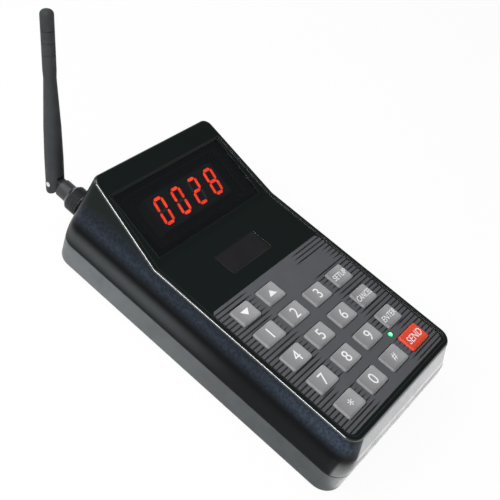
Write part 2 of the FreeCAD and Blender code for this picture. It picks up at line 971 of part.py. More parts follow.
def digit(index):
    """One seven-segment numeral block behind the window, its segments shallow pockets in its face."""
    x = digit_left_margin - sight_width / 2 + (index + 1 / 2) * digit_pitch
    block = box(
        x - digit_width / 2,
        x + digit_width / 2,
        digit_along - digit_length / 2,
        digit_along + digit_length / 2,
        -display_board_depth,
        -digit_face_depth,
    )
    pockets = []
    for outline in segment_outlines():
        corners = [at(x + dx, digit_along + dy, -digit_face_depth - segment_recess) for dx, dy in outline]
        floor = Part.Face(Part.makePolygon(corners + corners[:1]))
        pockets.append(floor.extrude(up * (segment_recess + overrun)))
    return tilt_to_deck(block.cut(pockets))


def display_board():
    """Board that carries the numerals, parallel to the display deck."""
    board = box(
        -display_board_width / 2,
        display_board_width / 2,
        display_board_start,
        display_board_start + display_board_length,
        -display_board_depth - board_thickness,
        -display_board_depth,
    )
    holes = []
    for x, along in display_stud_places:
        base = at(x, along, -display_board_depth - board_thickness - overrun)
        holes.append(rod(base, up, board_screw_radius, board_thickness + 2 * overrun))
    return tilt_to_deck(board.cut(holes))


def main_board():
    """Main circuit board under the key mat, hung on the upper half's studs."""
    half = main_board_half
    board = box(-half, half, board_front_y, board_rear_y, board_under_z, board_top_z)
    holes = []
    for x, y in stud_places:
        base = at(x, y, board_under_z - overrun)
        holes.append(rod(base, up, board_screw_radius, board_thickness + overrun * 2))
    return board.cut(holes)


def under_board_box(centre_x, centre_y, width, length, height):
    """A rectangular component on the underside of the main board."""
    return box(
        centre_x - width / 2,
        centre_x + width / 2,
        centre_y - length / 2,
        centre_y + length / 2,
        board_under_z - height,
        board_under_z,
    )


def board_components():
    """Crystal, regulator and two capacitors under the main board."""
    pieces = [
        under_board_box(-crystal_spacing, chip_y, crystal_width, crystal_length, crystal_height),
        under_board_box(
            capacitor_x - regulator_spacing,
            capacitor_y,
            regulator_width,
            regulator_length,
            regulator_height,
        ),
    ]
    for side in (-1, 1):
        base = at(capacitor_x + side * capacitor_spacing / 2, capacitor_y, board_under_z)
        pieces.append(rod(base, up * -1, capacitor_radius, capacitor_height))
    return Part.makeCompound(pieces)


def processor_chip():
    """Square processor package under the main board."""
    return under_board_box(0, chip_y, chip_width, chip_length, chip_height)


def beeper():
    """Round sounder under the main board with a port in its lower face."""
    base = at(beeper_side_inset - main_board_half, board_rear_y - beeper_rear_inset, board_under_z)
    body = rod(base, up * -1, beeper_radius, beeper_height)
    port_base = base - up * (beeper_height + overrun)
    return body.cut(rod(port_base, up, beeper_port_radius, beeper_port_depth + overrun))


def header_points():
    """Where the ribbon leaves each header, as two (y, z) points."""
    main_y = board_rear_y - header_inset - header_length / 2
    main_z = board_under_z - header_height
    slope_along = display_board_start + header_inset + header_length / 2
    drop = display_board_depth + board_thickness + header_height
    deck_y = crease_y + slope_along * math.cos(deck_rise) + drop * math.sin(deck_rise)
    deck_z = rim_z + slope_along * math.sin(deck_rise) - drop * math.cos(deck_rise)
    return (main_y, main_z), (deck_y, deck_z)


def ribbon_cable():
    """Flat ribbon under both boards, with a header at each end."""
    half = ribbon_width / 2
    (main_y, main_z), (deck_y, deck_z) = header_points()
    main_header = box(
        -half, half, main_y - header_length / 2, main_y + header_length / 2, main_z, board_under_z
    )
    slope_along = display_board_start + header_inset
    depth = display_board_depth + board_thickness
    deck_header = tilt_to_deck(
        box(-half, half, slope_along, slope_along + header_length, -depth - header_height, -depth)
    )
    reach = header_length / 2
    slope_y = reach * math.cos(deck_rise)
    slope_z = reach * math.sin(deck_rise)
    under_y = ribbon_thickness * math.sin(deck_rise)
    under_z = ribbon_thickness * math.cos(deck_rise)
    ribbon = prism(
        [
            (main_y - reach, main_z),
            (main_y + reach, main_z),
            (deck_y - slope_y, deck_z - slope_z),
            (deck_y + slope_y, deck_z + slope_z),
            (deck_y + slope_y + under_y, deck_z + slope_z - under_z),
            (deck_y - slope_y + under_y, deck_z - slope_z - under_z),
            (main_y + reach, main_z - ribbon_thickness),
            (main_y - reach, main_z - ribbon_thickness),
        ],
        -half,
        ribbon_width,
    )
    return ribbon.fuse([main_header, deck_header]).removeSplitter()


def transmitter_module():
    """Radio board on the case floor with a shield can over its circuit."""
    x0 = module_x - module_width / 2
    board = box(
        x0,
        x0 + module_width,
        module_y - module_length / 2,
        module_y + module_length / 2,
        module_floor_z,
        module_top_z,
    )
    holes = []
    for x, y in post_places:
        base = at(x, y, module_floor_z - overrun)
        holes.append(rod(base, up, board_screw_radius, board_thickness + overrun * 2))
    return board.cut(holes)


def shield_can():
    """Folded metal can over the radio circuit."""
    can = box(
        module_x - can_width / 2,
        module_x + can_width / 2,
        module_y - can_length / 2,
        module_y + can_length / 2,
        module_top_z,
        module_top_z + can_height,
    )
    room = box(
        module_x - can_width / 2 + can_wall,
        module_x + can_width / 2 - can_wall,
        module_y - can_length / 2 + can_wall,
        module_y + can_length / 2 - can_wall,
        module_top_z - overrun,
        module_top_z + can_height - can_wall,
    )
    return can.cut(room)


def hexagon(centre, direction, width, thickness, hole_radius):
    """A hexagonal nut across flats, centred on an axis."""
    circumradius = width / math.sqrt(3)
    helper = FreeCAD.Rotation(up, direction)
    corners = []
    sides = 6
    for index in range(sides):
        angle = 2 * math.pi * index / sides
        corner = at(circumradius * math.cos(angle), circumradius * math.sin(angle), 0)
        corners.append(centre + helper.multVec(corner))
    body = Part.Face(Part.makePolygon(corners + corners[:1])).extrude(direction * thickness)
    hole_start = centre - direction * overrun
    return body.cut(rod(hole_start, direction, hole_radius, thickness + overrun * 2))


def aerial_socket():
    """Bulkhead coaxial jack: outer flange, threaded barrel with its bore and contact, inner tail."""
    axis = at(aerial_x, seat_y, aerial_z)
    flange = rod(axis, back, socket_flange_radius, socket_flange_thickness)
    barrel_start = at(aerial_x, pad_y - socket_inner_reach, aerial_z)
    barrel = rod(barrel_start, back, socket_thread_radius, socket_end_y - pad_y + socket_inner_reach)
    tail_start = barrel_start - back * socket_tail_length
    tail = rod(tail_start, back, socket_tail_radius, socket_tail_length + overrun)
    body = barrel.fuse([flange, tail])
    bore_start = at(aerial_x, socket_end_y - socket_bore_depth, aerial_z)
    body = body.cut(rod(bore_start, back, socket_bore_radius, socket_bore_depth + overrun))
    contact = rod(bore_start, back, socket_contact_radius, socket_bore_depth - overrun)
    return body.fuse(contact).removeSplitter()


def socket_nut():
    """Hexagonal lock nut that clamps the jack from inside the back wall."""
    start = at(aerial_x, pad_y - socket_nut_thickness, aerial_z)
    return hexagon(start, back, socket_nut_width, socket_nut_thickness, socket_thread_radius)


def aerial_nut():
    """Knurled coupling nut with a bore over the jack's thread and a lip behind the knuckle's collar."""
    clearance = nut_running_clearance
    body = turned(
        [
            (0, socket_thread_radius + clearance),
            (0, nut_radius - knurl_depth),
            (knurl_depth, nut_radius),
            (nut_length - nut_plain_band, nut_radius),
            (nut_length, nut_radius - nut_plain_band),
            (nut_length, knuckle_stem_radius + clearance),
            (nut_length - nut_lip_thickness, knuckle_stem_radius + clearance),
            (nut_length - nut_lip_thickness, socket_thread_radius + clearance),
        ],
        at(aerial_x, nut_start_y, aerial_z),
        back,
    )
    grooves = []
    for index in range(knurl_count):
        angle = 360 * index / knurl_count
        half = math.pi * nut_radius / knurl_count / 2
        inner = nut_radius - knurl_depth
        outer = nut_radius + knurl_depth
        section = [at(-half * 2, 0, outer), at(half * 2, 0, outer), at(0, 0, inner)]
        groove = Part.Face(Part.makePolygon(section + section[:1])).extrude(
            back * (nut_length - 2 * nut_plain_band)
        )
        groove.rotate(at(0, 0, 0), back, angle)
        groove.translate(at(aerial_x, nut_start_y + knurl_depth, aerial_z))
        grooves.append(groove)
    return body.cut(grooves)


def aerial_knuckle():
    """Swivel knuckle: collar and stem inside the nut, round body, and a tongue with the hinge bore."""
    collar_y = nut_end_y - nut_lip_thickness - knuckle_collar_thickness - nut_running_clearance * 2
    body_y = nut_end_y + knuckle_gap
    start = at(aerial_x, collar_y, aerial_z)
    collar = rod(start, back, knuckle_collar_radius, knuckle_collar_thickness)
    stem = rod(start, back, knuckle_stem_radius, body_y - collar_y + overrun)
    body = rod(at(aerial_x, body_y, aerial_z), back, knuckle_radius, knuckle_length)
    body = body.makeFillet(knuckle_edge_round, [body.Edges[0], body.Edges[2]])
    tongue_start = body_y + knuckle_length - overrun
    tongue = box(
        aerial_x - tongue_width / 2,
        aerial_x + tongue_width / 2,
        tongue_start,
        hinge_y,
        aerial_z - tongue_radius,
        aerial_z + tongue_radius,
    )
    eye_start = at(aerial_x - tongue_width / 2, hinge_y, aerial_z)
    eye = rod(eye_start, right, tongue_radius, tongue_width)
    hole = rod(
        at(aerial_x - tongue_width, hinge_y, aerial_z),
        right,
        pin_radius + pin_running_clearance,
        tongue_width * 2,
    )
    return body.fuse([collar, stem, tongue, eye]).removeSplitter().cut(hole)


def lean_whip(shape):
    """Carry a shape built upright on the hinge axis to the whip's resting angle."""
    shape.rotate(at(0, 0, 0), right, whip_angle - 90)
    shape.translate(at(aerial_x, hinge_y, aerial_z))
    return shape


def aerial_whip():
    """Whip with a forked foot, a full lower half, a slimmer head with shallow rings and a round tip."""
    belly = whip_belly_share * whip_length
    neck = whip_neck_share * whip_length
    head = whip_head_share * whip_length
    shank = turned(
        [
            (-fork_radius, 0),
            (-fork_radius, whip_foot_radius),
            (fork_cheek_length, whip_foot_radius),
            (belly, whip_belly_radius),
            (neck, whip_neck_radius),
            (head, whip_tip_radius),
            (whip_length, whip_tip_radius),
            (whip_length, 0),
        ],
        at(0, 0, 0),
        up,
    )
    tip_edges = [edge for edge in shank.Edges if edge.BoundBox.ZMin > whip_length - whip_tip_round]
    shank = shank.makeFillet(whip_tip_round, tip_edges)
    rings = []
    for share in whip_ring_shares:
        z = share * whip_length
        floor = whip_tip_radius - whip_ring_depth
        ring = turned(
            [
                (z - whip_ring_width, whip_tip_radius + whip_ring_depth),
                (z + whip_ring_width, whip_tip_radius + whip_ring_depth),
                (z, floor),
            ],
            at(0, 0, 0),
            up,
        )
        rings.append(ring)
    shank = shank.cut(rings)
    span = whip_foot_radius * 2
    cheeks = rod(at(-span, 0, 0), right, fork_radius, 2 * span)
    above = box(-span, span, -fork_radius, fork_radius, 0, fork_cheek_length)
    beyond = box(-span, span, -span, span, fork_cheek_length, whip_length + overrun)
    shank = shank.common(cheeks.fuse([above, beyond]).removeSplitter())
    slot_half = tongue_width / 2 + fork_side_gap
    slot_top = tongue_radius + fork_floor_gap
    slot = box(-slot_half, slot_half, -span, span, -span, slot_top)
    hole = rod(at(-span, 0, 0), right, pin_radius, 2 * span)
    return lean_whip(shank.cut([slot, hole]).removeSplitter())


def hinge_pin():
    """Steel pin through the fork and the tongue."""
    half = whip_foot_radius + pin_proud
    return lean_whip(rod(at(-half, 0, 0), right, pin_radius, 2 * half))


def bent_tube(points, radius, bend):
    """A round lead along straight runs joined by tangent arcs."""
    edges = []
    start = points[0]
    for before, corner, after in zip(points, points[1:], points[2:]):
        incoming = (corner - before).normalize()
        outgoing = (after - corner).normalize()
        turn = incoming.getAngle(outgoing)
        setback = bend * math.tan(turn / 2)
        first = corner - incoming * setback
        last = corner + outgoing * setback
        inward = (outgoing - incoming).normalize()
        middle = corner + inward * (bend / math.cos(turn / 2) - bend)
        edges.append(Part.makeLine(start, first))
        edges.append(Part.Arc(first, middle, last).toShape())
        start = last
    edges.append(Part.makeLine(start, points[-1]))
    path = Part.Wire(edges)
    first_direction = (points[1] - points[0]).normalize()
    ring = Part.Wire([Part.makeCircle(radius, points[0], first_direction)])
    return path.makePipeShell([ring], True, True)


def aerial_lead():
    """Thin coaxial lead from the radio board up to the jack's tail."""
    tail_y = pad_y - socket_inner_reach - socket_tail_length
    board_x = module_x - can_width / 2 - lead_from_can
    board_end = at(board_x, module_y, module_top_z)
    above = at(board_x, module_y, module_top_z + lead_rise)
    run_in = at(aerial_x, (module_y + tail_y) / 2, aerial_z)
    route = [board_end, above, run_in, at(aerial_x, tail_y, aerial_z)]
    return bent_tube(route, lead_radius, lead_bend)


def power_inlet():
    """Round barrel socket: flange outside, body through the wall, bore with a centre contact."""
    axis = at(inlet_x, seat_y, aerial_z)
    flange = rod(axis, back, inlet_flange_radius, inlet_flange_thickness)
    body_start = at(inlet_x, pad_y - inlet_inner_reach, aerial_z)
    body = rod(body_start, back, inlet_body_radius, seat_y - pad_y + inlet_inner_reach)
    mouth_y = seat_y + inlet_flange_thickness
    bore_start = at(inlet_x, mouth_y - inlet_bore_depth, aerial_z)
    bore = rod(bore_start, back, inlet_bore_radius, inlet_bore_depth + overrun)
    shell = body.fuse(flange).cut(bore)
    pin = rod(bore_start, back, inlet_pin_radius, inlet_bore_depth - inlet_pin_short)
    lugs = []
    for side in (-1, 1):
        base = body_start + right * (side * inlet_lead_spacing / 2) - back * inlet_lug_length
        lugs.append(rod(base, back, inlet_lead_radius, inlet_lug_length + overrun))
    return shell.fuse([pin, *lugs]).removeSplitter()


def inlet_nut():
    """Round ring nut that holds the inlet against the inside of the back wall."""
    start = at(inlet_x, pad_y - inlet_nut_thickness, aerial_z)
    ring = rod(start, back, inlet_nut_radius, inlet_nut_thickness)
    hole = rod(start - back * overrun, back, inlet_body_radius, inlet_nut_thickness + 2 * overrun)
    return ring.cut(hole)


def inlet_leads():
    """Two wires from the inlet's lugs forward to the main board."""
    wires = []
    lug_y = pad_y - inlet_inner_reach - inlet_lug_length
    board_y = board_rear_y - header_inset - header_length / 2
    for side in (-1, 1):
        x = inlet_x + side * inlet_lead_spacing / 2
        points = [
            at(x, lug_y, aerial_z),
            at(x, board_y, aerial_z),
            at(x, board_y, board_under_z),
        ]
        wires.append(bent_tube(points, inlet_lead_radius, inlet_lead_bend))
    return Part.makeCompound(wires)


def build_nodes():
    """Every piece by its node name."""
    nodes = {
        "lower_casing": lower_casing(),
        "upper_casing": upper_casing(),
        "rubber_feet": rubber_feet(),
        "case_screws": case_screws(),
        "board_screws": board_screws(),
        "keypad_overlay": keypad_overlay(),
        "keypad_mat": keypad_mat(),
        "status_lamp": status_lamp(),
        "name_plate": name_plate(),
        "display_window": display_window(),
        "display_board": display_board(),
        "main_board": main_board(),
        "processor_chip": processor_chip(),
        "board_components": board_components(),
        "beeper": beeper(),
        "ribbon_cable": ribbon_cable(),
        "transmitter_board": transmitter_module(),
        "shield_can": shield_can(),
        "aerial_socket": aerial_socket(),
        "socket_nut": socket_nut(),
        "aerial_lead": aerial_lead(),
        "power_inlet": power_inlet(),
        "inlet_nut": inlet_nut(),
        "inlet_leads": inlet_leads(),
        "aerial_nut": aerial_nut(),
        "aerial_knuckle": aerial_knuckle(),
        "aerial_whip": aerial_whip(),
        "hinge_pin": hinge_pin(),
    }
    for index in range(digit_count):
        nodes[f"digit_{index + 1}"] = digit(index)
    for name, x, y, width in keys:
        nodes[name] = key_cap(x, y, width)
    return nodes


def main():
    """Write one STEP file for each piece."""
    os.makedirs("parts", exist_ok=True)
    for name, shape in build_nodes().items():
        shape.exportStep(f"parts/{name}.step")
        box_size = shape.BoundBox
        print(name, shape.isValid(), len(shape.Solids), round(shape.Volume, 1), box_size)


main()
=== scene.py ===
"""Looks of a desktop paging transmitter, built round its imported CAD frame, with studio and camera."""

import logging
import math
from collections.abc import Iterator, Sequence
from contextlib import contextmanager
from dataclasses import dataclass, field
from enum import Enum

import bpy
from mathutils import Euler, Matrix, Vector


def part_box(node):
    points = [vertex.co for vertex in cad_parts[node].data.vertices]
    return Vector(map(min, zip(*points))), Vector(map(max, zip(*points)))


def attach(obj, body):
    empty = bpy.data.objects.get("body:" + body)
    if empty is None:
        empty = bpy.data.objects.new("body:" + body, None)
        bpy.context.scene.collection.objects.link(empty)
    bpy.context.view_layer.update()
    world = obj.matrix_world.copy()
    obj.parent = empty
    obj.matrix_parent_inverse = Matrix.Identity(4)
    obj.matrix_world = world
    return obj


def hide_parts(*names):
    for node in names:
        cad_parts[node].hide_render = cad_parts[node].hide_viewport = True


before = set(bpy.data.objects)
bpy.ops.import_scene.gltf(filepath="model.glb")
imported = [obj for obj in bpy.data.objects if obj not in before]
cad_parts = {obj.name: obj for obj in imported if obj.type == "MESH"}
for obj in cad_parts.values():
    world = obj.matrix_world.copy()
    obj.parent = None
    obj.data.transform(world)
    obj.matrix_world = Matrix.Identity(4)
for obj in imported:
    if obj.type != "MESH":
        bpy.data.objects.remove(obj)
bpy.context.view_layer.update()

log = logging.getLogger("transmitter")
MM = 0.001
Colour = tuple[float, float, float]
Socket = bpy.types.NodeSocket
Piece = bpy.types.Object
Material = bpy.types.Material
Feed = Socket | float | Sequence[float]


class Body(Enum):
    """The bodies of the frame that carry new pieces."""

    CASING = "casing"
    NUT = "aerial_nut"


class Slot(Enum):
    """The names of the record's material slots; no piece in this script is given one."""

    KEY_GREY = "key_grey"
    KEY_RED = "key_red"
    DIGIT = "digit_plastic"
    NUT = "nut_black"
    SCREW = "screw_steel"


class Kind(Enum):
    """What is picked out of a mesh."""

    POINTS = "vertices"
    EDGES = "edges"
    FACES = "polygons"


# Materials


class Tree:
    """A node tree, with short calls to add and join its nodes."""

    def __init__(self, tree: bpy.types.NodeTree) -> None:
        """Take over the nodes and links of a tree."""
        self.nodes = tree.nodes
        self.links = tree.links

    def add(self, kind: str, feeds: dict[str | int, Feed], **settings: object) -> bpy.types.Node:
        """Add a node.

        Args:
            kind: Its type, without the ShaderNode before it.
            feeds: What its inputs get: an output of another node, or a plain value.
            settings: The node's own settings.

        Returns:
            The node.
        """
        node = self.nodes.new(f"ShaderNode{kind}")
        for name, value in settings.items():
            setattr(node, name, value)
        for name, value in feeds.items():
            if isinstance(value, Socket):
                self.links.new(value, node.inputs[name])
            else:
                node.inputs[name].default_value = value
        return node

    def math(self, operation: str, *values: Feed) -> Socket:
        """Work out a number from one to three others."""
        return self.add("Math", dict(enumerate(values)), operation=operation).outputs[0]

    def ramp(
        self, value: Socket, low: float, high: float, start: float, end: float, way: str = "SMOOTHSTEP"
    ) -> Socket:
        """Map a number from the range low to high onto start to end, and keep it inside that."""
        feeds = {"Value": value, "From Min": low, "From Max": high, "To Min": start, "To Max": end}
        return self.add("MapRange", feeds, interpolation_type=way).outputs[0]

    def split(self, vector: Socket) -> tuple[Socket, ...]:
        """Return the X, Y and Z of a vector."""
        return tuple(self.add("SeparateXYZ", {0: vector}).outputs)

    def seen(self) -> Socket:
        """Give 1 for a ray that comes from the camera, off gloss or through glass, and 0 for others."""
        rays = self.add("LightPath", {}).outputs
        total = rays["Is Camera Ray"]
        for name in ("Is Glossy Ray", "Is Transmission Ray"):
            total = self.math("MAXIMUM", total, rays[name])
        return total


class Surface(Tree):
    """The node tree of one material, round its Principled shader."""

    def __init__(self, name: str) -> None:
        """Start a material that holds only its Principled shader, and give it a name."""
        self.material = bpy.data.materials.new(name)
        self.material.use_nodes = True
        super().__init__(self.material.node_tree)
        self.shader = self.nodes["Principled BSDF"]
        self.place = self.add("TexCoord", {}).outputs["Object"]

    def set(self, **values: float | Sequence[float]) -> None:
        """Set plain values on the shader's own sockets, whose names have underscores for spaces."""
        for name, value in values.items():
            self.shader.inputs[name.replace("_", " ")].default_value = value

    def join(self, source: Socket, socket: str) -> None:
        """Feed the shader's socket of this name."""
        self.links.new(source, self.shader.inputs[socket])

    def axes(self) -> tuple[Socket, ...]:
        """Return the X, Y and Z of the shaded point in the part's frame."""
        return self.split(self.place)

    def facing(self, radius: float = 0.0) -> Socket:
        """Return how far the surface faces upwards, from -1 to 1, with edges softened by a radius."""
        normal = self.softened(radius) if radius else self.add("TexCoord", {}).outputs["Normal"]
        return self.split(normal)[2]

    def softened(self, radius: float) -> Socket:
        """Return the normal, rounded off at sharp edges to a radius in metres."""
        return self.add("Bevel", {"Radius": radius}, samples=8).outputs[0]

    def noise(self, size: float, detail: float = 3.0, stretch: Sequence[float] = (1, 1, 1)) -> Socket:
        """Make cloudy noise.

        Args:
            size: About how wide one cloud is, in metres.
            detail: How many finer layers it has.
            stretch: How much faster it changes along each axis.

        Returns:
            The noise, from 0 to 1.
        """
        mapping = self.add("Mapping", {"Vector": self.place, "Scale": stretch})
        feeds = {"Vector": mapping.outputs[0], "Scale": 1 / size, "Detail": detail}
        return self.add("TexNoise", feeds).outputs[0]

    def waver(self, noise: Socket, low: float, high: float) -> Socket:
        """Spread noise between two numbers, its thin tails cut off."""
        return self.ramp(noise, 0.3, 0.7, low, high)

    def blend(self, factor: Socket, low: Feed, high: Feed) -> Socket:
        """Mix two colours or outputs that give them: factor 0 is the first and 1 the second."""
        low, high = (value if isinstance(value, Socket) else (*value, 1) for value in (low, high))
        return self.add("Mix", {"Factor": factor, "A": low, "B": high}, data_type="RGBA").outputs["Result"]

    def relief(self, *layers: tuple[Socket, float], normal: Socket | None = None) -> None:
        """Raise the surface by one or more height maps.

        Args:
            layers: Pairs of a height from 0 to 1 and what 1 stands for, in metres.
            normal: The normal to start from, or the surface's own.
        """
        for height, depth in layers:
            start = {"Normal": normal} if normal else {}
            normal = self.add("Bump", {"Distance": depth, "Height": height, **start}).outputs[0]
        self.join(normal, "Normal")


def tone(value: Sequence[float], share: float = 1.0) -> Colour:
    """Turn a colour as seen on a screen, from 0 to 255, into a linear one, times a share."""
    linear = (((v / 255 + 0.055) / 1.055) ** 2.4 if v > 10 else v / 255 / 12.92 for v in value)
    return tuple(v * share for v in linear)


@dataclass(frozen=True)
class Plastic:
    """Moulded plastic or rubber: slightly clouded colour, uneven gloss and a fine grain.

    Attributes:
        name: The material's name.
        colour: Its mean colour as seen, from 0 to 255.
        roughness: Its mean roughness.
        cloud: How far the colour varies, as a share.
        grain: How wide one grain of the mould texture is, in metres.
        depth: How deep the grain is, in metres.
        gloss: The specular level.
        front: Its colour at the front of the case, where that differs; this darker front is painted shade.
        run: Where along Y the painted shade at the front turns into the mean colour, in metres.
    """

    name: str
    colour: Sequence[float]
    roughness: float
    cloud: float = 0.15
    grain: float = 0.3 * MM
    depth: float = 0.01 * MM
    gloss: float = 0.5
    front: Sequence[float] | None = None
    run: tuple[float, float] = (-130 * MM, 70 * MM)

    def make(self) -> Material:
        """Build the material."""
        surface = Surface(self.name)
        shades = []
        for share in (1 - self.cloud, 1 + self.cloud):
            shade = tone(self.colour, share)
            # Where a front colour is given, the colour is painted darker towards the front: painted shade,
            # not a change in the plastic.
            if self.front:
                along = surface.ramp(surface.axes()[1], *self.run, 0, 1)
                shade = surface.blend(along, tone(self.front, share), shade)
            shades.append(shade)
        cloud = surface.ramp(surface.noise(12 * MM), 0.35, 0.65, 0, 1)
        surface.join(surface.blend(cloud, *shades), "Base Color")
        smear = surface.noise(5 * MM, 4)
        surface.join(surface.waver(smear, self.roughness * 0.85, self.roughness * 1.15), "Roughness")
        surface.set(Specular_IOR_Level=self.gloss)
        surface.relief((surface.noise(self.grain, 2), self.depth))
        return surface.material


@dataclass(frozen=True)
class PolishedShell:
    """Black moulding: satin walls below the knee in painted shade, black gloss above it with a mottled bluish
    painted reflection, dark deck.

    Attributes:
        seam: Height of the wall's lower edge, in metres.
        knee: Height of the knee, in metres.
        reflection_peak: Height at which the painted bluish reflection on the gloss is strongest, in metres.
        inner: How far from the middle the decks reach along X, in metres.
        front: How far before the origin they reach along Y, in metres.
        edge: How far the polish at the edges reaches, in metres.
        merge: Over what length the walls' finish sets in at the decks' ends, in metres.
        lie: How far a wall faces upwards where its finish starts to end, and where it has ended.
        edge_start: How far an edge faces upwards where its polish sets in.
        edge_end: How far it does where the polish ends.
        satin_shade_run: Where along Y the satin's painted shade turns from its darker front to its lighter
            rear colour, in metres.
        reflection_run: Where along Y the painted bluish reflection on the gloss gets weaker, in metres.
        satin_seam_shade: Colour of the satin band at the seam, as seen, darker there as painted shade.
        satin_front_shade: Its colour below the knee at the front, darker as painted shade.
        satin_rear_lit: Its colour below the knee at the back, lighter as painted light.
        reflection_low: Colour of the gloss just above the knee, where the painted reflection is weakest.
        reflection_high: Its colour where the painted bluish reflection is strongest.
        deck: Colour of what faces upwards.
    """

    seam: float = 15 * MM
    knee: float = 25 * MM
    reflection_peak: float = 32 * MM
    inner: float = 45.5 * MM
    front: float = 107 * MM
    edge: float = 0.7 * MM
    merge: float = 1.5 * MM
    lie: tuple[float, float] = (0.45, 0.85)
    edge_start: tuple[float, float] = (0.3, 0.55)
    edge_end: tuple[float, float] = (0.8, 0.93)
    satin_shade_run: tuple[float, float] = (-55 * MM, 5 * MM)
    reflection_run: tuple[float, float] = (-100 * MM, -50 * MM)
    satin_seam_shade: Sequence[float] = (6, 7, 8)
    satin_front_shade: Sequence[float] = (14, 17, 19)
    satin_rear_lit: Sequence[float] = (58, 61, 63)
    reflection_low: Sequence[float] = (5, 6, 8)
    reflection_high: Sequence[float] = (50, 59, 71)
    deck: Sequence[float] = (19, 25, 24)

    def make(self) -> Material:
        """Build the material."""
        surface = Surface("upper shell")
        x, y, z = surface.axes()
        beside = surface.ramp(surface.math("ABSOLUTE", x), self.inner, self.inner + self.merge, 0, 1)
        ahead = surface.math("MULTIPLY", y, -1.0)
        before = surface.ramp(ahead, self.front, self.front + self.merge, 0, 1)
        outside = surface.math("MAXIMUM", beside, before)
        wall = surface.math("MULTIPLY", surface.ramp(surface.facing(), *self.lie, 1, 0), outside)
        below = surface.ramp(z, self.knee - 3.5 * MM, self.knee + 1 * MM, 1, 0)
        below = surface.math("MULTIPLY", below, wall)
        # The satin band's colour is painted shade: darker towards the front and down towards the seam,
        # lighter at the back.
        rearward = surface.ramp(y, *self.satin_shade_run, 0, 1)
        satin = surface.blend(rearward, tone(self.satin_front_shade), tone(self.satin_rear_lit))
        rise = surface.ramp(z, self.seam, self.knee - 4 * MM, 0, 1)
        satin = surface.blend(rise, tone(self.satin_seam_shade), satin)
        # Painted reflection: a mottled bluish colour rising from the knee to its peak on the gloss walls,
        # weaker towards the front and fading above the peak.
        reflection_mottle = surface.waver(surface.noise(1.4 * MM, 5), 0.6, 1.3)
        painted_reflection = surface.math("MULTIPLY", reflection_mottle, surface.ramp(z, self.knee + 1 * MM, self.reflection_peak, 0, 1))
        strength = surface.ramp(y, *self.reflection_run, 0.9, 0.5)
        fading = surface.ramp(z, self.reflection_peak, self.reflection_peak + 4 * MM, 1, 0.6)
        painted_reflection = surface.math("MULTIPLY", painted_reflection, surface.math("MULTIPLY", strength, fading))
        gloss = surface.blend(painted_reflection, tone(self.reflection_low), tone(self.reflection_high))
        walls = surface.blend(wall, tone(self.deck), gloss)
        surface.join(surface.blend(below, walls, satin), "Base Color")
        smear = surface.waver(surface.noise(6 * MM, 4), 0.12, 0.2)
        surface.join(surface.math("MULTIPLY_ADD", below, 0.3, smear), "Roughness")
        facing = surface.facing(self.edge)
        rising = surface.ramp(facing, *self.edge_start, 0, 1)
        falling = surface.ramp(facing, *self.edge_end, 1, 0)
        surface.join(surface.math("MULTIPLY", rising, falling), "Coat Weight")
        surface.set(Coat_IOR=2.0, Coat_Roughness=0.15)
        band = surface.math("MULTIPLY", below, before)
        surface.join(surface.math("MULTIPLY_ADD", band, 0.8, 0.1), "Specular IOR Level")
        surface.relief(
            (surface.noise(0.25 * MM, 2), 0.001 * MM),
            (surface.noise(9 * MM, 1), 0.02 * MM),
            normal=surface.softened(self.edge),
        )
        return surface.material


@dataclass(frozen=True)
class KeyPlastic:
    """Satin key plastic with a painted highlight: each key is painted a little brighter towards its right.

    Attributes:
        name: The material's name.
        left: Its colour at the left of a key as seen, from 0 to 255, in painted shade.
        right: Its colour at the right, painted lighter as a highlight.
        pitch: The distance between the columns of keys, in metres.
    """

    name: str
    left: Sequence[float]
    right: Sequence[float]
    pitch: float = 20 * MM

    def make(self) -> Material:
        """Build the material."""
        surface = Surface(self.name)
        x, y, _ = surface.axes()
        # Painted highlight: the colour brightens across each key towards its right, as light on a crowned top
        # would.
        across = surface.math("FRACT", surface.math("DIVIDE", x, self.pitch))
        drift = surface.math("MULTIPLY_ADD", surface.noise(5 * MM), 0.16, across)
        side = surface.ramp(drift, 0.24, 0.92, 0, 1)
        surface.join(surface.blend(side, tone(self.left), tone(self.right)), "Base Color")
        surface.join(surface.waver(surface.noise(3 * MM), 0.38, 0.46), "Roughness")
        surface.set(Specular_IOR_Level=0.45)
        surface.relief((surface.noise(0.2 * MM, 2), 0.004 * MM))
        return surface.material


@dataclass(frozen=True)
class Metal:
    """Plated or bare metal with fine drawn lines along one axis.

    Attributes:
        name: The material's name.
        colour: Its colour as seen, from 0 to 255.
        roughness: Its mean roughness.
        stretch: How much faster the lines change along each axis.
    """

    name: str
    colour: Sequence[float]
    roughness: float
    stretch: Sequence[float] = (1, 12, 1)

    def make(self) -> Material:
        """Build the material."""
        surface = Surface(self.name)
        lines = surface.noise(0.6 * MM, 3, self.stretch)
        surface.join(surface.blend(lines, tone(self.colour, 0.85), tone(self.colour, 1.12)), "Base Color")
        surface.set(Metallic=1.0)
        surface.join(surface.waver(lines, self.roughness * 0.75, self.roughness * 1.3), "Roughness")
        surface.relief((lines, 0.004 * MM))
        return surface.material


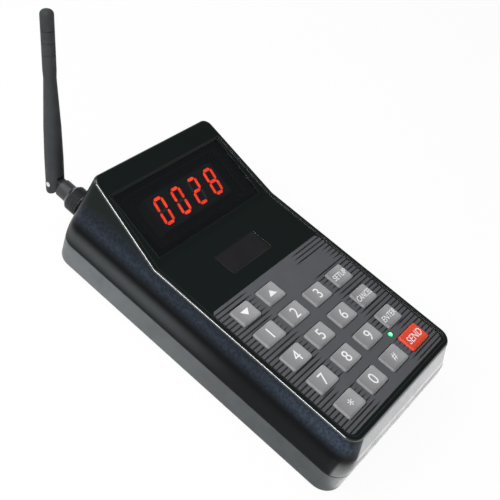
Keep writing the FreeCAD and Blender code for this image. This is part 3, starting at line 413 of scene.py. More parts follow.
@dataclass(frozen=True)
class StripedSheet:
    """The keypad's face sheet: grey film with dark ruled lines that taper towards the middle.

    Attributes:
        rear: Where the sheet's rear edge lies along Y, in metres; all rows are measured from it.
        first: How far before it the first line lies, in metres.
        pitch: The distance between lines, in metres.
        half_line: Half the width of a full line, in metres.
        tip: How far from the middle the lines end, in metres.
        spread: How much that varies from line to line, in metres.
        taper: Over what length a line reaches its full width, in metres.
        lamp_gap: The rows beside the lamp, between which the lines stop sooner, in metres.
        lamp_tip: How far from the middle they end there, in metres.
        plain_gap: The rows beside the plain corner of the sheet, in metres.
        plain_tip: How far from the middle the right-hand lines end there, in metres.
    """

    rear: float
    first: float = 2.0 * MM
    pitch: float = 2.316 * MM
    half_line: float = 0.38 * MM
    tip: float = 15.5 * MM
    spread: float = 3.5 * MM
    taper: float = 5.0 * MM
    lamp_gap: tuple[float, float] = (61.2 * MM, 66.4 * MM)
    lamp_tip: float = 27.5 * MM
    plain_gap: tuple[float, float] = (7.4 * MM, 17.4 * MM)
    plain_tip: float = 36.0 * MM

    def make(self) -> Material:
        """Build the material."""
        surface = Surface("face sheet print")
        x, y, _ = surface.axes()
        off = surface.math("ABSOLUTE", x)
        row = surface.math("SUBTRACT", self.rear, y)
        count = surface.math("DIVIDE", surface.math("SUBTRACT", row, self.first), self.pitch)
        index = surface.math("ROUND", count)
        off_line = surface.math("ABSOLUTE", surface.math("SUBTRACT", count, index))
        seed = surface.math("MULTIPLY_ADD", surface.math("SIGN", x), 0.25, index)
        scatter = surface.add("TexWhiteNoise", {"W": seed}, noise_dimensions="1D")
        tip = surface.math("MULTIPLY_ADD", scatter.outputs[0], self.spread, self.tip)
        beside_lamp = self.between(surface, row, self.lamp_gap)
        tip = surface.math("MAXIMUM", tip, surface.math("MULTIPLY", beside_lamp, self.lamp_tip))
        right = surface.math("GREATER_THAN", x, 0.0)
        beside_plain = surface.math("MULTIPLY", self.between(surface, row, self.plain_gap), right)
        tip = surface.math("MAXIMUM", tip, surface.math("MULTIPLY", beside_plain, self.plain_tip))
        reach = surface.math("DIVIDE", surface.math("SUBTRACT", off, tip), self.taper)
        reach = surface.math("MINIMUM", surface.math("MAXIMUM", reach, -1.0), 1.0)
        width = surface.math("MULTIPLY", reach, self.half_line)
        edge = surface.math("SUBTRACT", width, surface.math("MULTIPLY", off_line, self.pitch))
        ink = surface.ramp(edge, -0.03 * MM, 0.03 * MM, 0, 1)
        film = surface.blend(surface.noise(8 * MM), tone((77, 78, 82)), tone((84, 85, 89)))
        surface.join(surface.blend(ink, film, tone((20, 20, 22))), "Base Color")
        surface.join(surface.waver(surface.noise(3 * MM), 0.42, 0.52), "Roughness")
        surface.set(Specular_IOR_Level=0.3)
        surface.relief((surface.noise(0.25 * MM, 2), 0.006 * MM), (ink, 0.01 * MM))
        return surface.material

    @staticmethod
    def between(surface: Surface, value: Socket, limits: tuple[float, float]) -> Socket:
        """Give 1 where a number lies between two limits, and 0 elsewhere.

        Args:
            surface: The material that is being built.
            value: The number.
            limits: The lower and the upper limit.

        Returns:
            The test's output.
        """
        above = surface.math("GREATER_THAN", value, limits[0])
        below = surface.math("LESS_THAN", value, limits[1])
        return surface.math("MULTIPLY", above, below)


@dataclass(frozen=True)
class Filter:
    """Dark see-through acrylic with a faint haze.

    Attributes:
        name: The material's name.
        colour: Its colour as seen, from 0 to 255.
        cover: How much of what lies behind it is held back at each face.
    """

    name: str
    colour: Sequence[float]
    cover: float

    def make(self) -> Material:
        """Build the material."""
        surface = Surface(self.name)
        haze = surface.noise(15 * MM)
        surface.join(surface.blend(haze, tone(self.colour, 0.8), tone(self.colour, 1.2)), "Base Color")
        surface.join(surface.waver(haze, 0.05, 0.12), "Roughness")
        surface.set(Alpha=self.cover, Specular_IOR_Level=0.5)
        surface.relief((surface.noise(20 * MM, 1), 0.02 * MM))
        return surface.material


@dataclass(frozen=True)
class Glow:
    """A lit plastic part whose light varies a little from place to place.

    Attributes:
        name: The material's name.
        colour: Its colour as seen, from 0 to 255.
        strength: How strongly it shines.
        spread: How far the brightness varies, as a share.
    """

    name: str
    colour: Sequence[float]
    strength: float
    spread: float = 0.2

    def make(self) -> Material:
        """Build the material."""
        surface = Surface(self.name)
        ends = (tone(self.colour, 1 - self.spread), tone(self.colour, 1 + self.spread))
        shine = surface.blend(surface.waver(surface.noise(2.5 * MM, 1), 0, 1), *ends)
        surface.join(shine, "Base Color")
        surface.join(shine, "Emission Color")
        surface.set(Emission_Strength=self.strength, Roughness=0.4)
        return surface.material


@dataclass(frozen=True)
class Laminate:
    """Circuit board laminate: green lacquer over a faint weave and straight tracks.

    Attributes:
        name: The material's name.
        colour: The lacquer's colour as seen, from 0 to 255.
    """

    name: str
    colour: Sequence[float]

    def make(self) -> Material:
        """Build the material."""
        surface = Surface(self.name)
        tracks = surface.ramp(surface.noise(4 * MM, 0, (0.15, 1, 1)), 0.49, 0.51, 0, 1)
        surface.join(surface.blend(tracks, tone(self.colour), tone(self.colour, 1.6)), "Base Color")
        surface.set(Roughness=0.35)
        surface.relief((tracks, 0.03 * MM), (surface.noise(0.5 * MM, 1, (1, 3, 1)), 0.01 * MM))
        return surface.material


# Modelling


class Bench:
    """Modelling steps with Blender's own operators, one piece at a time."""

    @staticmethod
    def clear() -> None:
        """Deselect everything."""
        bpy.ops.object.select_all(action="DESELECT")

    @staticmethod
    def take(piece: Piece) -> None:
        """Select one piece alone and make it active."""
        Bench.clear()
        piece.select_set(True)
        bpy.context.view_layer.objects.active = piece

    @staticmethod
    def named(name: str) -> Piece:
        """Name the piece that was just added, and return it."""
        piece = bpy.context.object
        piece.name = piece.data.name = name
        return piece

    @staticmethod
    @contextmanager
    def editing(piece: Piece, mode: str = "FACE") -> Iterator[None]:
        """Work on a piece in edit mode.

        Args:
            piece: The piece.
            mode: What is selected: VERT, EDGE or FACE.
        """
        Bench.take(piece)
        bpy.ops.object.mode_set(mode="EDIT")
        bpy.ops.mesh.select_mode(type=mode)
        yield
        bpy.ops.object.mode_set(mode="OBJECT")

    @staticmethod
    def pick(piece: Piece, kind: Kind, wanted: Sequence[bool]) -> None:
        """Select the points, edges or faces of a piece for which the list says so.

        Args:
            piece: The piece.
            kind: What is selected.
            wanted: One answer for each, in the mesh's order.
        """
        mesh = piece.data
        for part in (mesh.vertices, mesh.edges, mesh.polygons):
            part.foreach_set("select", [False] * len(part))
        getattr(mesh, kind.value).foreach_set("select", list(wanted))

    @staticmethod
    def apply(piece: Piece, kind: str, **settings: object) -> None:
        """Add a modifier to a piece and apply it.

        Args:
            piece: The piece.
            kind: The modifier's type.
            settings: Its settings.
        """
        modifier = piece.modifiers.new(kind.lower(), kind)
        for name, value in settings.items():
            setattr(modifier, name, value)
        Bench.take(piece)
        bpy.ops.object.modifier_apply(modifier=modifier.name)

    @staticmethod
    def settle(piece: Piece, place: Matrix) -> None:
        """Put a piece's place into its mesh and leave its object at the origin."""
        piece.data.transform(place @ piece.matrix_basis)
        piece.matrix_basis = Matrix.Identity(4)
        piece.data.update()

    @staticmethod
    def copy(piece: Piece, name: str, place: Matrix) -> Piece:
        """Copy a piece with its own mesh to another place.

        Args:
            piece: The piece to copy.
            name: The copy's name.
            place: Where it goes, from the first piece's place.

        Returns:
            The copy.
        """
        twin = piece.copy()
        twin.data = piece.data.copy()
        twin.name = twin.data.name = name
        bpy.context.collection.objects.link(twin)
        Bench.settle(twin, place)
        return twin

    @staticmethod
    def merge(pieces: Sequence[Piece], name: str) -> Piece:
        """Join pieces into one object.

        Args:
            pieces: The pieces.
            name: The new object's name.

        Returns:
            The joined object.
        """
        Bench.take(pieces[0])
        for piece in pieces[1:]:
            piece.select_set(True)
        bpy.ops.object.join()
        return Bench.named(name)

    @staticmethod
    def smooth(piece: Piece, degrees: float = 35) -> None:
        """Shade a piece smooth except at edges sharper than an angle."""
        Bench.take(piece)
        bpy.ops.object.shade_smooth_by_angle(angle=math.radians(degrees))

    @staticmethod
    def tidy(piece: Piece) -> None:
        """Merge doubled points and turn all faces outwards."""
        with Bench.editing(piece, "VERT"):
            bpy.ops.mesh.select_all(action="SELECT")
            bpy.ops.mesh.remove_doubles(threshold=0.001 * MM)
            bpy.ops.mesh.normals_make_consistent(inside=False)

    @staticmethod
    def turn(name: str, stations: Sequence[tuple[float, float]], sides: int) -> Piece:
        """Raise a turned piece along Z from a disc, one extrusion for each station.

        Args:
            name: The piece's name.
            stations: Pairs of a height and a radius, from the foot upwards.
            sides: How many sides the disc has.

        Returns:
            The piece.
        """
        Bench.clear()
        height, radius = stations[0]
        place = (0, 0, height)
        bpy.ops.mesh.primitive_circle_add(vertices=sides, radius=radius, fill_type="NGON", location=place)
        piece = Bench.named(name)
        with Bench.editing(piece):
            bpy.ops.mesh.select_all(action="SELECT")
            for next_height, next_radius in stations[1:]:
                rise = (0, 0, next_height - height)
                bpy.ops.mesh.extrude_region_move(TRANSFORM_OT_translate={"value": rise})
                scale = (next_radius / radius, next_radius / radius, 1)
                bpy.ops.transform.resize(value=scale, center_override=(0, 0, next_height))
                height, radius = next_height, next_radius
        Bench.settle(piece, Matrix.Identity(4))
        Bench.tidy(piece)
        return piece


def dress(piece: Piece, material: Material) -> None:
    """Give a piece one material all over."""
    if not piece.material_slots:
        piece.data.materials.append(material)
    for slot in piece.material_slots:
        slot.material = material


def dress_nodes(material: Material, *names: str) -> None:
    """Give CAD nodes one material."""
    for name in names:
        dress(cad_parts[name], material)


# Sub-assemblies


@dataclass
class Deck:
    """The two planes of the top: the level rim plane and the raised display deck.

    Attributes:
        rim: Height of the level rim plane.
        crease: Where the display deck starts along Y.
        angle: How steeply it rises, in degrees.
    """

    rim: float = 36.7 * MM
    crease: float = 9.872 * MM
    angle: float = 16.88

    def raised(self) -> Matrix:
        """Return the place of the display deck: X across, Y up the slope, Z out of it."""
        tilt = Matrix.Rotation(math.radians(self.angle), 4, "X")
        return Matrix.Translation((0, self.crease, self.rim)) @ tilt


@dataclass
class Casing:
    """Case halves, feet, screws and the bare plate."""

    screw_radius: float = 2.8 * MM
    screw_height: float = 2.0 * MM
    shank_radius: float = 1.3 * MM
    shank_length: float = 18.0 * MM
    recess_width: float = 0.75 * MM
    recess_length: float = 3.2 * MM
    recess_depth: float = 1.1 * MM
    head_round: float = 0.7 * MM
    seat: float = 5.5 * MM

    def build(self) -> None:
        """Dress the case and replace its screws by ones with a cross recess."""
        dress_nodes(PolishedShell().make(), "upper_casing")
        # The lower shell is painted darker towards its front, as painted shade where less light falls.
        lower = Plastic(
            "lower shell", (92, 96, 98), 0.45, 0.08, 0.3 * MM, 0.012 * MM, gloss=0.4, front=(54, 58, 60)
        )
        dress_nodes(lower.make(), "lower_casing")
        dress_nodes(Plastic("foot rubber", (38, 38, 38), 0.8, 0.2, 0.5 * MM, 0.03 * MM).make(), "rubber_feet")
        plate = Plastic("bare plate", (26, 26, 30), 0.35, 0.12, 0.3 * MM, 0.006 * MM, gloss=0.2)
        dress_nodes(plate.make(), "name_plate")
        steel = Metal("screw steel", (165, 165, 168), 0.3).make()
        dress_nodes(steel, "board_screws")
        model = self.screw()
        low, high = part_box("case_screws")
        screws = []
        for x in (low[0] + self.screw_radius, high[0] - self.screw_radius):
            for y in (low[1] + self.screw_radius, high[1] - self.screw_radius):
                screws.append(Bench.copy(model, "case_screw", Matrix.Translation((x, y, self.seat))))
        bpy.data.objects.remove(model)
        screws = Bench.merge(screws, "case_screws_crossed")
        dress(screws, steel)
        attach(screws, Body.CASING.value)
        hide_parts("case_screws")
        log.info("casing dressed")

    def screw(self) -> Piece:
        """Model one pan-head screw, head down, with a cross recess.

        Returns:
            The screw, its seat at the origin.
        """
        screw = Bench.turn(
            "screw",
            [
                (-self.screw_height, self.screw_radius - self.head_round),
                (-self.screw_height + self.head_round * 0.4, self.screw_radius - self.head_round * 0.3),
                (-self.screw_height + self.head_round, self.screw_radius),
                (0, self.screw_radius),
                (0, self.shank_radius),
                (self.shank_length - self.shank_radius, self.shank_radius),
                (self.shank_length, self.shank_radius * 0.4),
            ],
            32,
        )
        for turn in (0, math.pi / 2):
            Bench.clear()
            bpy.ops.mesh.primitive_cube_add(size=1, location=(0, 0, -self.screw_height))
            cutter = Bench.named("recess")
            size = Matrix.Diagonal((self.recess_length, self.recess_width, self.recess_depth * 2, 1))
            cutter.data.transform(Matrix.Rotation(turn, 4, "Z") @ size)
            Bench.settle(cutter, Matrix.Identity(4))
            Bench.apply(screw, "BOOLEAN", object=cutter, operation="DIFFERENCE", solver="EXACT")
            bpy.data.objects.remove(cutter)
        Bench.smooth(screw)
        return screw


@dataclass(frozen=True)
class Legend:
    """What is printed on a key.

    Attributes:
        text: The characters.
        height: Their height, in metres.
        width: Their full width, in metres, or 0 to keep the letters' own proportions.
        slant: How far they lean, as a share of their height.
    """

    text: str
    height: float
    width: float = 0.0
    slant: float = 0.0


@dataclass
class Keypad:
    """Face sheet, mat, keys with their printed legends, and the status lamp."""

    corner: float = 1.3 * MM
    edge: float = 0.45 * MM
    crown: float = 0.16 * MM
    crown_steps: Sequence[tuple[float, float]] = ((0.7 * MM, 0.45), (1.0 * MM, 0.35), (1.3 * MM, 0.2))
    lug: float = 1.2 * MM
    lug_height: float = 1.0 * MM
    ink: float = 0.03 * MM
    arrow_width: float = 5.6 * MM
    arrow_height: float = 3.2 * MM
    arrow_round: float = 0.25 * MM
    lamp_fade: tuple[float, float] = (0.2 * MM, 1.3 * MM)
    lamp_core: Sequence[float] = (150, 255, 205)
    lamp_rim: Sequence[float] = (0, 170, 95)
    legends: dict[str, Legend] = field(default_factory=dict)

    def __post_init__(self) -> None:
        """Set the legend of each key."""
        for numeral in "1234567890":
            self.legends[f"key_{numeral}"] = Legend(numeral, 5.8 * MM)
        self.legends["key_star"] = Legend("*", 3.4 * MM)
        self.legends["key_hash"] = Legend("#", 3.9 * MM, 0, 0.15)
        self.legends["key_setup"] = Legend("SETUP", 3.2 * MM, 10.6 * MM, 0.25)
        self.legends["key_cancel"] = Legend("CANCEL", 3.2 * MM, 12.0 * MM, 0.25)
        self.legends["key_enter"] = Legend("ENTER", 3.2 * MM, 11.2 * MM, 0.25)
        self.legends["key_send"] = Legend("SEND", 4.0 * MM, 11.8 * MM, 0.22)

    def build(self) -> None:
        """Dress the sheet and the mat, and build the keys, their legends and the lamp."""
        dress_nodes(StripedSheet(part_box("keypad_overlay")[1][1]).make(), "keypad_overlay")
        dress_nodes(Plastic("mat rubber", (120, 120, 122), 0.85, 0.1).make(), "keypad_mat")
        # Both key plastics carry a painted highlight towards each key's right.
        grey = KeyPlastic("key grey", (130, 130, 132), (157, 157, 160)).make()
        red = KeyPlastic("key red", (216, 66, 40), (226, 74, 46)).make()
        ink = Plastic("legend ink", (232, 232, 234), 0.5, 0.02, 0.2 * MM, 0.002 * MM).make()
        models: dict[float, Piece] = {}
        for name, piece in sorted(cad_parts.items()):
            if not name.startswith("key_"):
                continue
            low, high = (Vector(corner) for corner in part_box(name))
            width = high.x - low.x - self.lug * 2
            size = round(width / MM, 2)
            if size not in models:
                models[size] = self.cap(width, high.y - low.y, high.z - low.z)
            place = Matrix.Translation(((low.x + high.x) / 2, (low.y + high.y) / 2, low.z))
            cap = Bench.copy(models[size], f"{name}_cap", place)
            dress(cap, red if name == "key_send" else grey)
            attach(cap, name)
            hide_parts(name)
            legend = self.arrow(name) if name in ("key_down", "key_up") else self.print(name)
            top = Matrix.Translation(((low.x + high.x) / 2, (low.y + high.y) / 2, high.z + self.crown))
            Bench.settle(legend, top)
            dress(legend, ink)
            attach(legend, name)
        for model in models.values():
            bpy.data.objects.remove(model)
        self.lamp()
        log.info("keypad built with %d keys", len(self.legends) + 2)

    def cap(self, width: float, length: float, height: float) -> Piece:
        """Model one key cap, its foot at the origin, with a lug on each side.

        Args:
            width: The cap's width.
            length: Its length.
            height: Its height.

        Returns:
            The cap.
        """
        Bench.clear()
        bpy.ops.mesh.primitive_cube_add(size=1, location=(0, 0, 0))
        cap = Bench.named("cap")
        size = Matrix.Diagonal((width, length, height, 1))
        Bench.settle(cap, Matrix.Translation((0, 0, height / 2)) @ size)
        points = cap.data.vertices
        ends = [[points[v].co.z for v in edge.vertices] for edge in cap.data.edges]
        Bench.pick(cap, Kind.EDGES, [max(pair) - min(pair) > height / 2 for pair in ends])
        with Bench.editing(cap, "EDGE"):
            bpy.ops.mesh.bevel(offset=self.corner, segments=6, profile=0.5)
        points = cap.data.vertices
        rim = [all(points[v].co.z > height - self.edge for v in edge.vertices) for edge in cap.data.edges]
        Bench.pick(cap, Kind.EDGES, rim)
        with Bench.editing(cap, "EDGE"):
            bpy.ops.mesh.bevel(offset=self.edge, segments=4, profile=0.5)
        top = [face.normal.z > 0.999 and face.center.z > height * 0.9 for face in cap.data.polygons]
        Bench.pick(cap, Kind.FACES, top)
        with Bench.editing(cap):
            for inset, rise in self.crown_steps:
                bpy.ops.mesh.inset(thickness=inset)
                bpy.ops.transform.translate(value=(0, 0, self.crown * rise))
        Bench.clear()
        bpy.ops.mesh.primitive_cube_add(size=1, location=(0, 0, self.lug_height / 2))
        lug = Bench.named("lug")
        size = (width + self.lug * 2, length - self.corner * 2, self.lug_height, 1)
        lug.data.transform(Matrix.Diagonal(size))
        Bench.settle(lug, Matrix.Identity(4))
        Bench.apply(cap, "BOOLEAN", object=lug, operation="UNION", solver="EXACT")
        bpy.data.objects.remove(lug)
        Bench.smooth(cap, 50)
        return cap

    def print(self, name: str) -> Piece:
        """Model a key's legend as raised ink about the origin.

        Args:
            name: The key's node.

        Returns:
            The legend.
        """
        legend = self.legends[name]
        Bench.clear()
        bpy.ops.object.text_add(location=(0, 0, 0))
        bpy.context.object.data.body = legend.text
        bpy.context.object.data.extrude = self.ink
        bpy.ops.object.convert(target="MESH")
        piece = Bench.named(f"{name}_legend")
        xs = [v.co.x for v in piece.data.vertices]
        ys = [v.co.y for v in piece.data.vertices]
        tall = legend.height / (max(ys) - min(ys))
        wide = legend.width / (max(xs) - min(xs)) if legend.width else tall
        middle = Matrix.Translation((-(min(xs) + max(xs)) / 2, -(min(ys) + max(ys)) / 2, 0))
        lean = Matrix.Identity(4)
        lean[0][1] = legend.slant
        Bench.settle(piece, lean @ Matrix.Diagonal((wide, tall, 1, 1)) @ middle)
        Bench.tidy(piece)
        return piece

    def arrow(self, name: str) -> Piece:
        """Model an arrow legend: a softened triangle of raised ink.

        Args:
            name: The key's node.

        Returns:
            The arrow.
        """
        Bench.clear()
        bpy.ops.mesh.primitive_circle_add(vertices=3, radius=1, fill_type="NGON", location=(0, 0, 0))
        piece = Bench.named(f"{name}_legend")
        side = math.sqrt(3)
        way = -1 if name == "key_down" else 1
        shape = Matrix.Diagonal((self.arrow_width / side * way, self.arrow_height / 1.5 * way, 1, 1))
        Bench.settle(piece, shape @ Matrix.Translation((0, -0.25, 0)))
        with Bench.editing(piece):
            bpy.ops.mesh.select_all(action="SELECT")
            bpy.ops.mesh.bevel(offset=self.arrow_round, segments=3, affect="VERTICES")
            bpy.ops.mesh.extrude_region_move(TRANSFORM_OT_translate={"value": (0, 0, self.ink)})
        Bench.tidy(piece)
        return piece

    def lamp(self) -> None:
        """Dress the lamp so that it glows from its middle."""
        surface = Surface("lamp glow")
        low, high = (Vector(corner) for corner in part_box("status_lamp"))
        x, y, _ = surface.axes()
        off_x = surface.math("SUBTRACT", x, (low.x + high.x) / 2)
        off_y = surface.math("SUBTRACT", y, (low.y + high.y) / 2)
        squares = [surface.math("MULTIPLY", off, off) for off in (off_x, off_y)]
        radius = surface.math("SQRT", surface.math("ADD", *squares))
        fade = surface.ramp(radius, *self.lamp_fade, 0, 1)
        shine = surface.blend(fade, tone(self.lamp_core), tone(self.lamp_rim))
        surface.join(shine, "Base Color")
        surface.join(shine, "Emission Color")
        surface.set(Emission_Strength=1.6, Roughness=0.2)
        dress_nodes(surface.material, "status_lamp")


@dataclass
class Display:
    """Window, numeral blocks and their lit and unlit segments."""

    deck: Deck
    reading: str = "0028"
    width: float = 12.6266 * MM
    length: float = 19.0 * MM
    side_share: float = 0.2228
    end_share: float = 0.1092
    thickness_share: float = 0.127
    slant: float = 9.0
    gap: float = 0.25 * MM
    face_depth: float = 3.1 * MM
    recess: float = 0.3 * MM
    proud: float = 0.04 * MM

    def build(self) -> None:
        """Dress the window and the blocks, and fill each block's pockets with segments."""
        dress_nodes(Filter("window acrylic", (10, 14, 18), 0.5).make(), "display_window")
        block = Plastic("numeral block", (62, 66, 70), 0.6, 0.1).make()
        dress_nodes(block, "digit_1", "digit_2", "digit_3", "digit_4")
        lit = Glow("lit segment", (255, 66, 36), 3.4).make()
        dark = Plastic("unlit segment", (128, 128, 128), 0.5, 0.1).make()
        level, upright = (self.segment(length) for length in self.lengths())
        for index, numeral in enumerate(self.reading):
            low, high = (Vector(corner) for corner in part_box(f"digit_{index + 1}"))
            middle = self.middle((low.x + high.x) / 2, low, high)
            groups: dict[bool, list[Piece]] = {True: [], False: []}
            for letter, place in self.places().items():
                shown = letter in self.shown(numeral)
                model = level if letter in "agd" else upright
                groups[shown].append(Bench.copy(model, f"segment_{letter}", middle @ place))
            for shown, pieces in groups.items():
                if pieces:
                    piece = Bench.merge(pieces, f"numeral_{index + 1}_{'lit' if shown else 'dark'}")
                    dress(piece, lit if shown else dark)
                    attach(piece, Body.CASING.value)
        for model in (level, upright):
            bpy.data.objects.remove(model)
        log.info("display shows %s", self.reading)

    def middle(self, x: float, low: Vector, high: Vector) -> Matrix:
        """Return the place of a block's face: X across, Y up the slope, Z out of it.

        Args:
            x: Where the block stands across the deck.
            low: The lowest corner of the block's box.
            high: The highest corner of the block's box.

        Returns:
            The place, slanted as the numerals are.
        """
        along = (self.deck.raised().inverted() @ ((low + high) / 2)).y
        lean = Matrix.Identity(4)
        lean[0][1] = math.tan(math.radians(self.slant))
        return self.deck.raised() @ Matrix.Translation((x, along, -self.face_depth - self.recess)) @ lean

    def half(self) -> float:
        """Return half the thickness of a segment."""
        return self.width * self.thickness_share / 2

    def corner(self) -> tuple[float, float]:
        """Return how far the outer segments' middle lines lie from a numeral's middle, across and up."""
        return (
            self.width * (0.5 - self.side_share) - self.half(),
            self.length * (0.5 - self.end_share) - self.half(),
        )

    def lengths(self) -> tuple[float, float]:
        """Return how long the level and the upright segments are from tip to tip."""
        half_x, half_y = self.corner()
        return half_x * 2 - self.gap * 2, half_y - self.gap * 2

    def segment(self, length: float) -> Piece:
        """Model one segment lying along X: a six-sided disc whose pointed ends are drawn apart.

        Args:
            length: How long it is from tip to tip.

        Returns:
            The segment, its foot at the origin.
        """
        tip = self.half() * 2
        Bench.clear()
        bpy.ops.mesh.primitive_cylinder_add(
            vertices=6, radius=tip, depth=self.recess + self.proud, rotation=(0, 0, math.pi / 6)
        )
        piece = Bench.named("segment")
        Bench.settle(piece, Matrix.Translation((0, 0, (self.recess + self.proud) / 2)))
        squash = self.half() / max(v.co.y for v in piece.data.vertices)
        piece.data.transform(Matrix.Diagonal((1, squash, 1, 1)))
        for side in (-1, 1):
            Bench.pick(piece, Kind.POINTS, [v.co.x * side > 0 for v in piece.data.vertices])
            with Bench.editing(piece, "VERT"):
                bpy.ops.transform.translate(value=((length / 2 - tip) * side, 0, 0))
        return piece

    def places(self) -> dict[str, Matrix]:
        """Return the place of each segment about the middle of a numeral, by letter."""
        half_x, half_y = self.corner()
        turn = Matrix.Rotation(math.pi / 2, 4, "Z")
        level = {"a": half_y, "g": 0, "d": -half_y}
        places = {letter: Matrix.Translation((0, y, 0)) for letter, y in level.items()}
        sides = {"f": (-half_x, 1), "b": (half_x, 1), "e": (-half_x, -1), "c": (half_x, -1)}
        for letter, (x, side) in sides.items():
            places[letter] = Matrix.Translation((x, side * half_y / 2, 0)) @ turn
        return places

    @staticmethod
    def shown(numeral: str) -> str:
        """Return the letters of the segments that light for a numeral."""
        return {"0": "abcdef", "2": "abged", "8": "abcdefg"}[numeral]


@dataclass
class Aerial:
    """Coupling nut, knuckle, hinge pin and whip, with the socket they stand on."""

    knurl_columns: int = 34
    knurl_rows: int = 9
    knurl_height: float = 0.4 * MM
    lip: float = 1.3 * MM
    lip_height: float = 0.4 * MM
    near: float = 0.01 * MM

    def build(self) -> None:
        """Dress the aerial and replace its nut by one with a crossed knurl."""
        sleeve = Plastic("whip sleeve", (48, 51, 53), 0.6, 0.1, 0.35 * MM, 0.012 * MM, gloss=0.25)
        dress_nodes(sleeve.make(), "aerial_whip")
        knuckle = Plastic("knuckle plastic", (34, 37, 40), 0.45, 0.15, 0.3 * MM, 0.008 * MM)
        dress_nodes(knuckle.make(), "aerial_knuckle")
        dress_nodes(Metal("hinge pin steel", (225, 225, 228), 0.25).make(), "hinge_pin")
        dress_nodes(Metal("socket plating", (214, 178, 96), 0.28).make(), "aerial_socket", "socket_nut")
        low, high = (Vector(corner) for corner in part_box("aerial_nut"))
        radius = (high.x - low.x) / 2
        nut = self.nut(radius, high.y - low.y)
        upright = Matrix.Rotation(-math.pi / 2, 4, "X")
        Bench.settle(nut, Matrix.Translation(((low.x + high.x) / 2, low.y, (low.z + high.z) / 2)) @ upright)
        dress(nut, Plastic("nut black", (40, 42, 45), 0.25, 0.15, 0.3 * MM, 0.004 * MM, gloss=0.9).make())
        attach(nut, Body.NUT.value)
        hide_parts("aerial_nut")
        log.info("aerial built")

    def nut(self, radius: float, length: float) -> Piece:
        """Model the coupling nut along Z from the origin.

        Args:
            radius: Its outer radius over the knurl.
            length: Its length.

        Returns:
            The nut.
        """
        root = radius - self.knurl_height
        knurl_end = length - self.lip
        stations = [(0, root - self.knurl_height), (self.knurl_height, root)]
        for row in range(self.knurl_rows):
            share = (row + 1) / self.knurl_rows
            stations.append((self.knurl_height + (knurl_end - self.knurl_height) * share, root))
        stations += [(length - self.lip_height, radius - self.lip * 0.8), (length, radius - self.lip)]
        nut = Bench.turn("aerial_nut_knurled", stations, self.knurl_columns)
        Bench.pick(nut, Kind.FACES, [abs(face.normal.z) < 0.01 for face in nut.data.polygons])
        with Bench.editing(nut):
            bpy.ops.mesh.poke(offset=0)
            bpy.ops.mesh.select_mode(type="EDGE")
        straight = []
        points = nut.data.vertices
        for edge in nut.data.edges:
            first, last = (points[v].co for v in edge.vertices)
            middle = (first + last) / 2
            inside = self.knurl_height * 1.5 < middle.z < knurl_end - 0.2 * MM
            along = (first.xy - last.xy).length < self.near
            same_radius = abs(first.xy.length - last.xy.length) < self.near / 10
            level = abs(first.z - last.z) < self.near and same_radius
            straight.append(inside and (along or level))
        Bench.pick(nut, Kind.EDGES, straight)
        with Bench.editing(nut, "EDGE"):
            bpy.ops.mesh.dissolve_edges(use_verts=False)
        diamonds = [abs(face.normal.z) < 0.05 and len(face.vertices) == 4 for face in nut.data.polygons]
        Bench.pick(nut, Kind.FACES, diamonds)
        with Bench.editing(nut):
            bpy.ops.mesh.poke(offset=self.knurl_height)
        return nut


@dataclass
class BackPanel:
    """Power inlet and its fixings."""

    def build(self) -> None:
        """Dress the inlet, its nut and its leads."""
        dress_nodes(Plastic("inlet plastic", (30, 30, 32), 0.35).make(), "power_inlet")
        dress_nodes(Metal("ring nut steel", (170, 170, 172), 0.3).make(), "inlet_nut")
        dress_nodes(Plastic("lead sleeve", (24, 24, 25), 0.5).make(), "inlet_leads", "aerial_lead")
        log.info("back panel dressed")


@dataclass
class Electronics:
    """Boards and components inside the case."""

    def build(self) -> None:
        """Dress the boards and what they carry."""
        dress_nodes(Laminate("green laminate", (30, 92, 52)).make(), "main_board", "transmitter_board")
        dress_nodes(Laminate("black laminate", (22, 24, 25)).make(), "display_board")
        moulded = Plastic("component case", (28, 28, 30), 0.5).make()
        dress_nodes(moulded, "processor_chip", "board_components", "beeper")
        dress_nodes(Plastic("ribbon sleeve", (150, 150, 154), 0.5, 0.1).make(), "ribbon_cable")
        dress_nodes(Metal("shield tin", (190, 190, 186), 0.35, (12, 1, 1)).make(), "shield_can")
        log.info("electronics dressed")


# Studio


@dataclass(frozen=True)
class Lamp:
    """One soft area light.

    Attributes:
        name: The light's name.
        place: Where it stands, in metres.
        aim: What it points at.
        size: Its width and height.
        power: Its power in watts.
    """

    name: str
    place: Sequence[float]
    aim: Sequence[float]
    size: tuple[float, float]
    power: float

    def add(self) -> None:
        """Add the light to the scene."""
        data = bpy.data.lights.new(self.name, "AREA")
        data.shape = "RECTANGLE"
        data.size, data.size_y = self.size
        data.energy = self.power
        light = bpy.data.objects.new(self.name, data)
        bpy.context.collection.objects.link(light)
        light.location = self.place
        light.rotation_euler = (Vector(self.aim) - Vector(self.place)).to_track_quat("-Z", "Y").to_euler()
        light.visible_camera = False


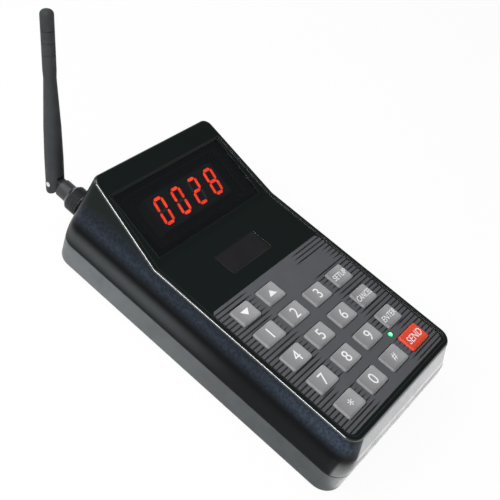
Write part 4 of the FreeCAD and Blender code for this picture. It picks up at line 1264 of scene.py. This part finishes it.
@dataclass
class Studio:
    """Pale floor, soft light and the camera."""

    floor_size: float = 6.0
    white_share: float = 0.95
    paper_shades: tuple[float, float] = (0.86, 0.9)
    sky_levels: tuple[float, float] = (0.9, 0.2)
    lamps: Sequence[Lamp] = (
        Lamp("overhead", (-0.1, 0.4, 0.7), (0, 0, 0), (0.5, 0.4), 3.2),
        Lamp("rim_strip", (-0.45, 0.02, 0.42), (0, 0, 0.03), (0.5, 0.1), 2.6),
        Lamp("front_strip", (0.04, -0.126, 0.001), (0.04, -0.126, 1), (0.3, 0.022), 0.043),
    )
    camera_place: Sequence[float] = (-0.30701, -0.12297, 0.34103)
    camera_turn: Sequence[float] = (44.2986, -18.7173, -51.6071)
    lens: float = 66.4

    def build(self) -> None:
        """Lay the floor, hang the lights, set the background and place the camera."""
        Bench.clear()
        bpy.ops.mesh.primitive_plane_add(size=self.floor_size, location=(0, 0, 0))
        floor = Bench.named("studio_floor")
        dress(floor, self.paper())
        for lamp in self.lamps:
            lamp.add()
        self.sky()
        self.camera()
        log.info("studio ready")

    def paper(self) -> Material:
        """Make the floor's pale paper, near white where it is seen, with the object's shadow kept."""
        surface = Surface("studio paper")
        low, high = ((shade, shade, shade) for shade in self.paper_shades)
        surface.join(surface.blend(surface.noise(2 * MM), low, high), "Base Color")
        surface.set(Roughness=0.9, Specular_IOR_Level=0.1)
        white = surface.add("Emission", {"Color": (1, 1, 1, 1)})
        share = surface.math("MULTIPLY", surface.seen(), self.white_share)
        mix = surface.add("MixShader", {0: share, 1: surface.shader.outputs[0], 2: white.outputs[0]})
        surface.links.new(mix.outputs[0], surface.nodes["Material Output"].inputs["Surface"])
        return surface.material

    def sky(self) -> None:
        """Set a white background that lights the object softly, darker towards the top."""
        world = bpy.data.worlds.new("studio")
        bpy.context.scene.world = world
        world.use_nodes = True
        tree = Tree(world.node_tree)
        height = tree.split(tree.add("TexCoord", {}).outputs["Generated"])[2]
        light = tree.ramp(height, 0.0, 0.6, *self.sky_levels, "LINEAR")
        backdrop = tree.ramp(height, 0.05, 0.35, 1.0, 0.0, "LINEAR")
        white = tree.math("MULTIPLY", tree.seen(), backdrop)
        level = tree.add("Mix", {"Factor": white, "A": light, "B": 1.0})
        background = tree.nodes["Background"]
        background.inputs["Color"].default_value = (1, 1, 1, 1)
        tree.links.new(level.outputs["Result"], background.inputs["Strength"])

    def camera(self) -> None:
        """Place the camera where the photograph was taken from."""
        data = bpy.data.cameras.new("camera")
        data.lens = self.lens
        camera = bpy.data.objects.new("camera", data)
        bpy.context.collection.objects.link(camera)
        camera.location = self.camera_place
        camera.rotation_euler = Euler([math.radians(angle) for angle in self.camera_turn])
        bpy.context.scene.camera = camera
        bpy.context.scene.view_settings.view_transform = "Standard"


def main() -> None:
    """Build every sub-assembly, then the studio."""
    logging.basicConfig(level=logging.INFO, format="%(message)s")
    for part in (Casing(), Keypad(), Display(Deck()), Aerial(), BackPanel(), Electronics(), Studio()):
        part.build()


if __name__ == "__main__":
    main()
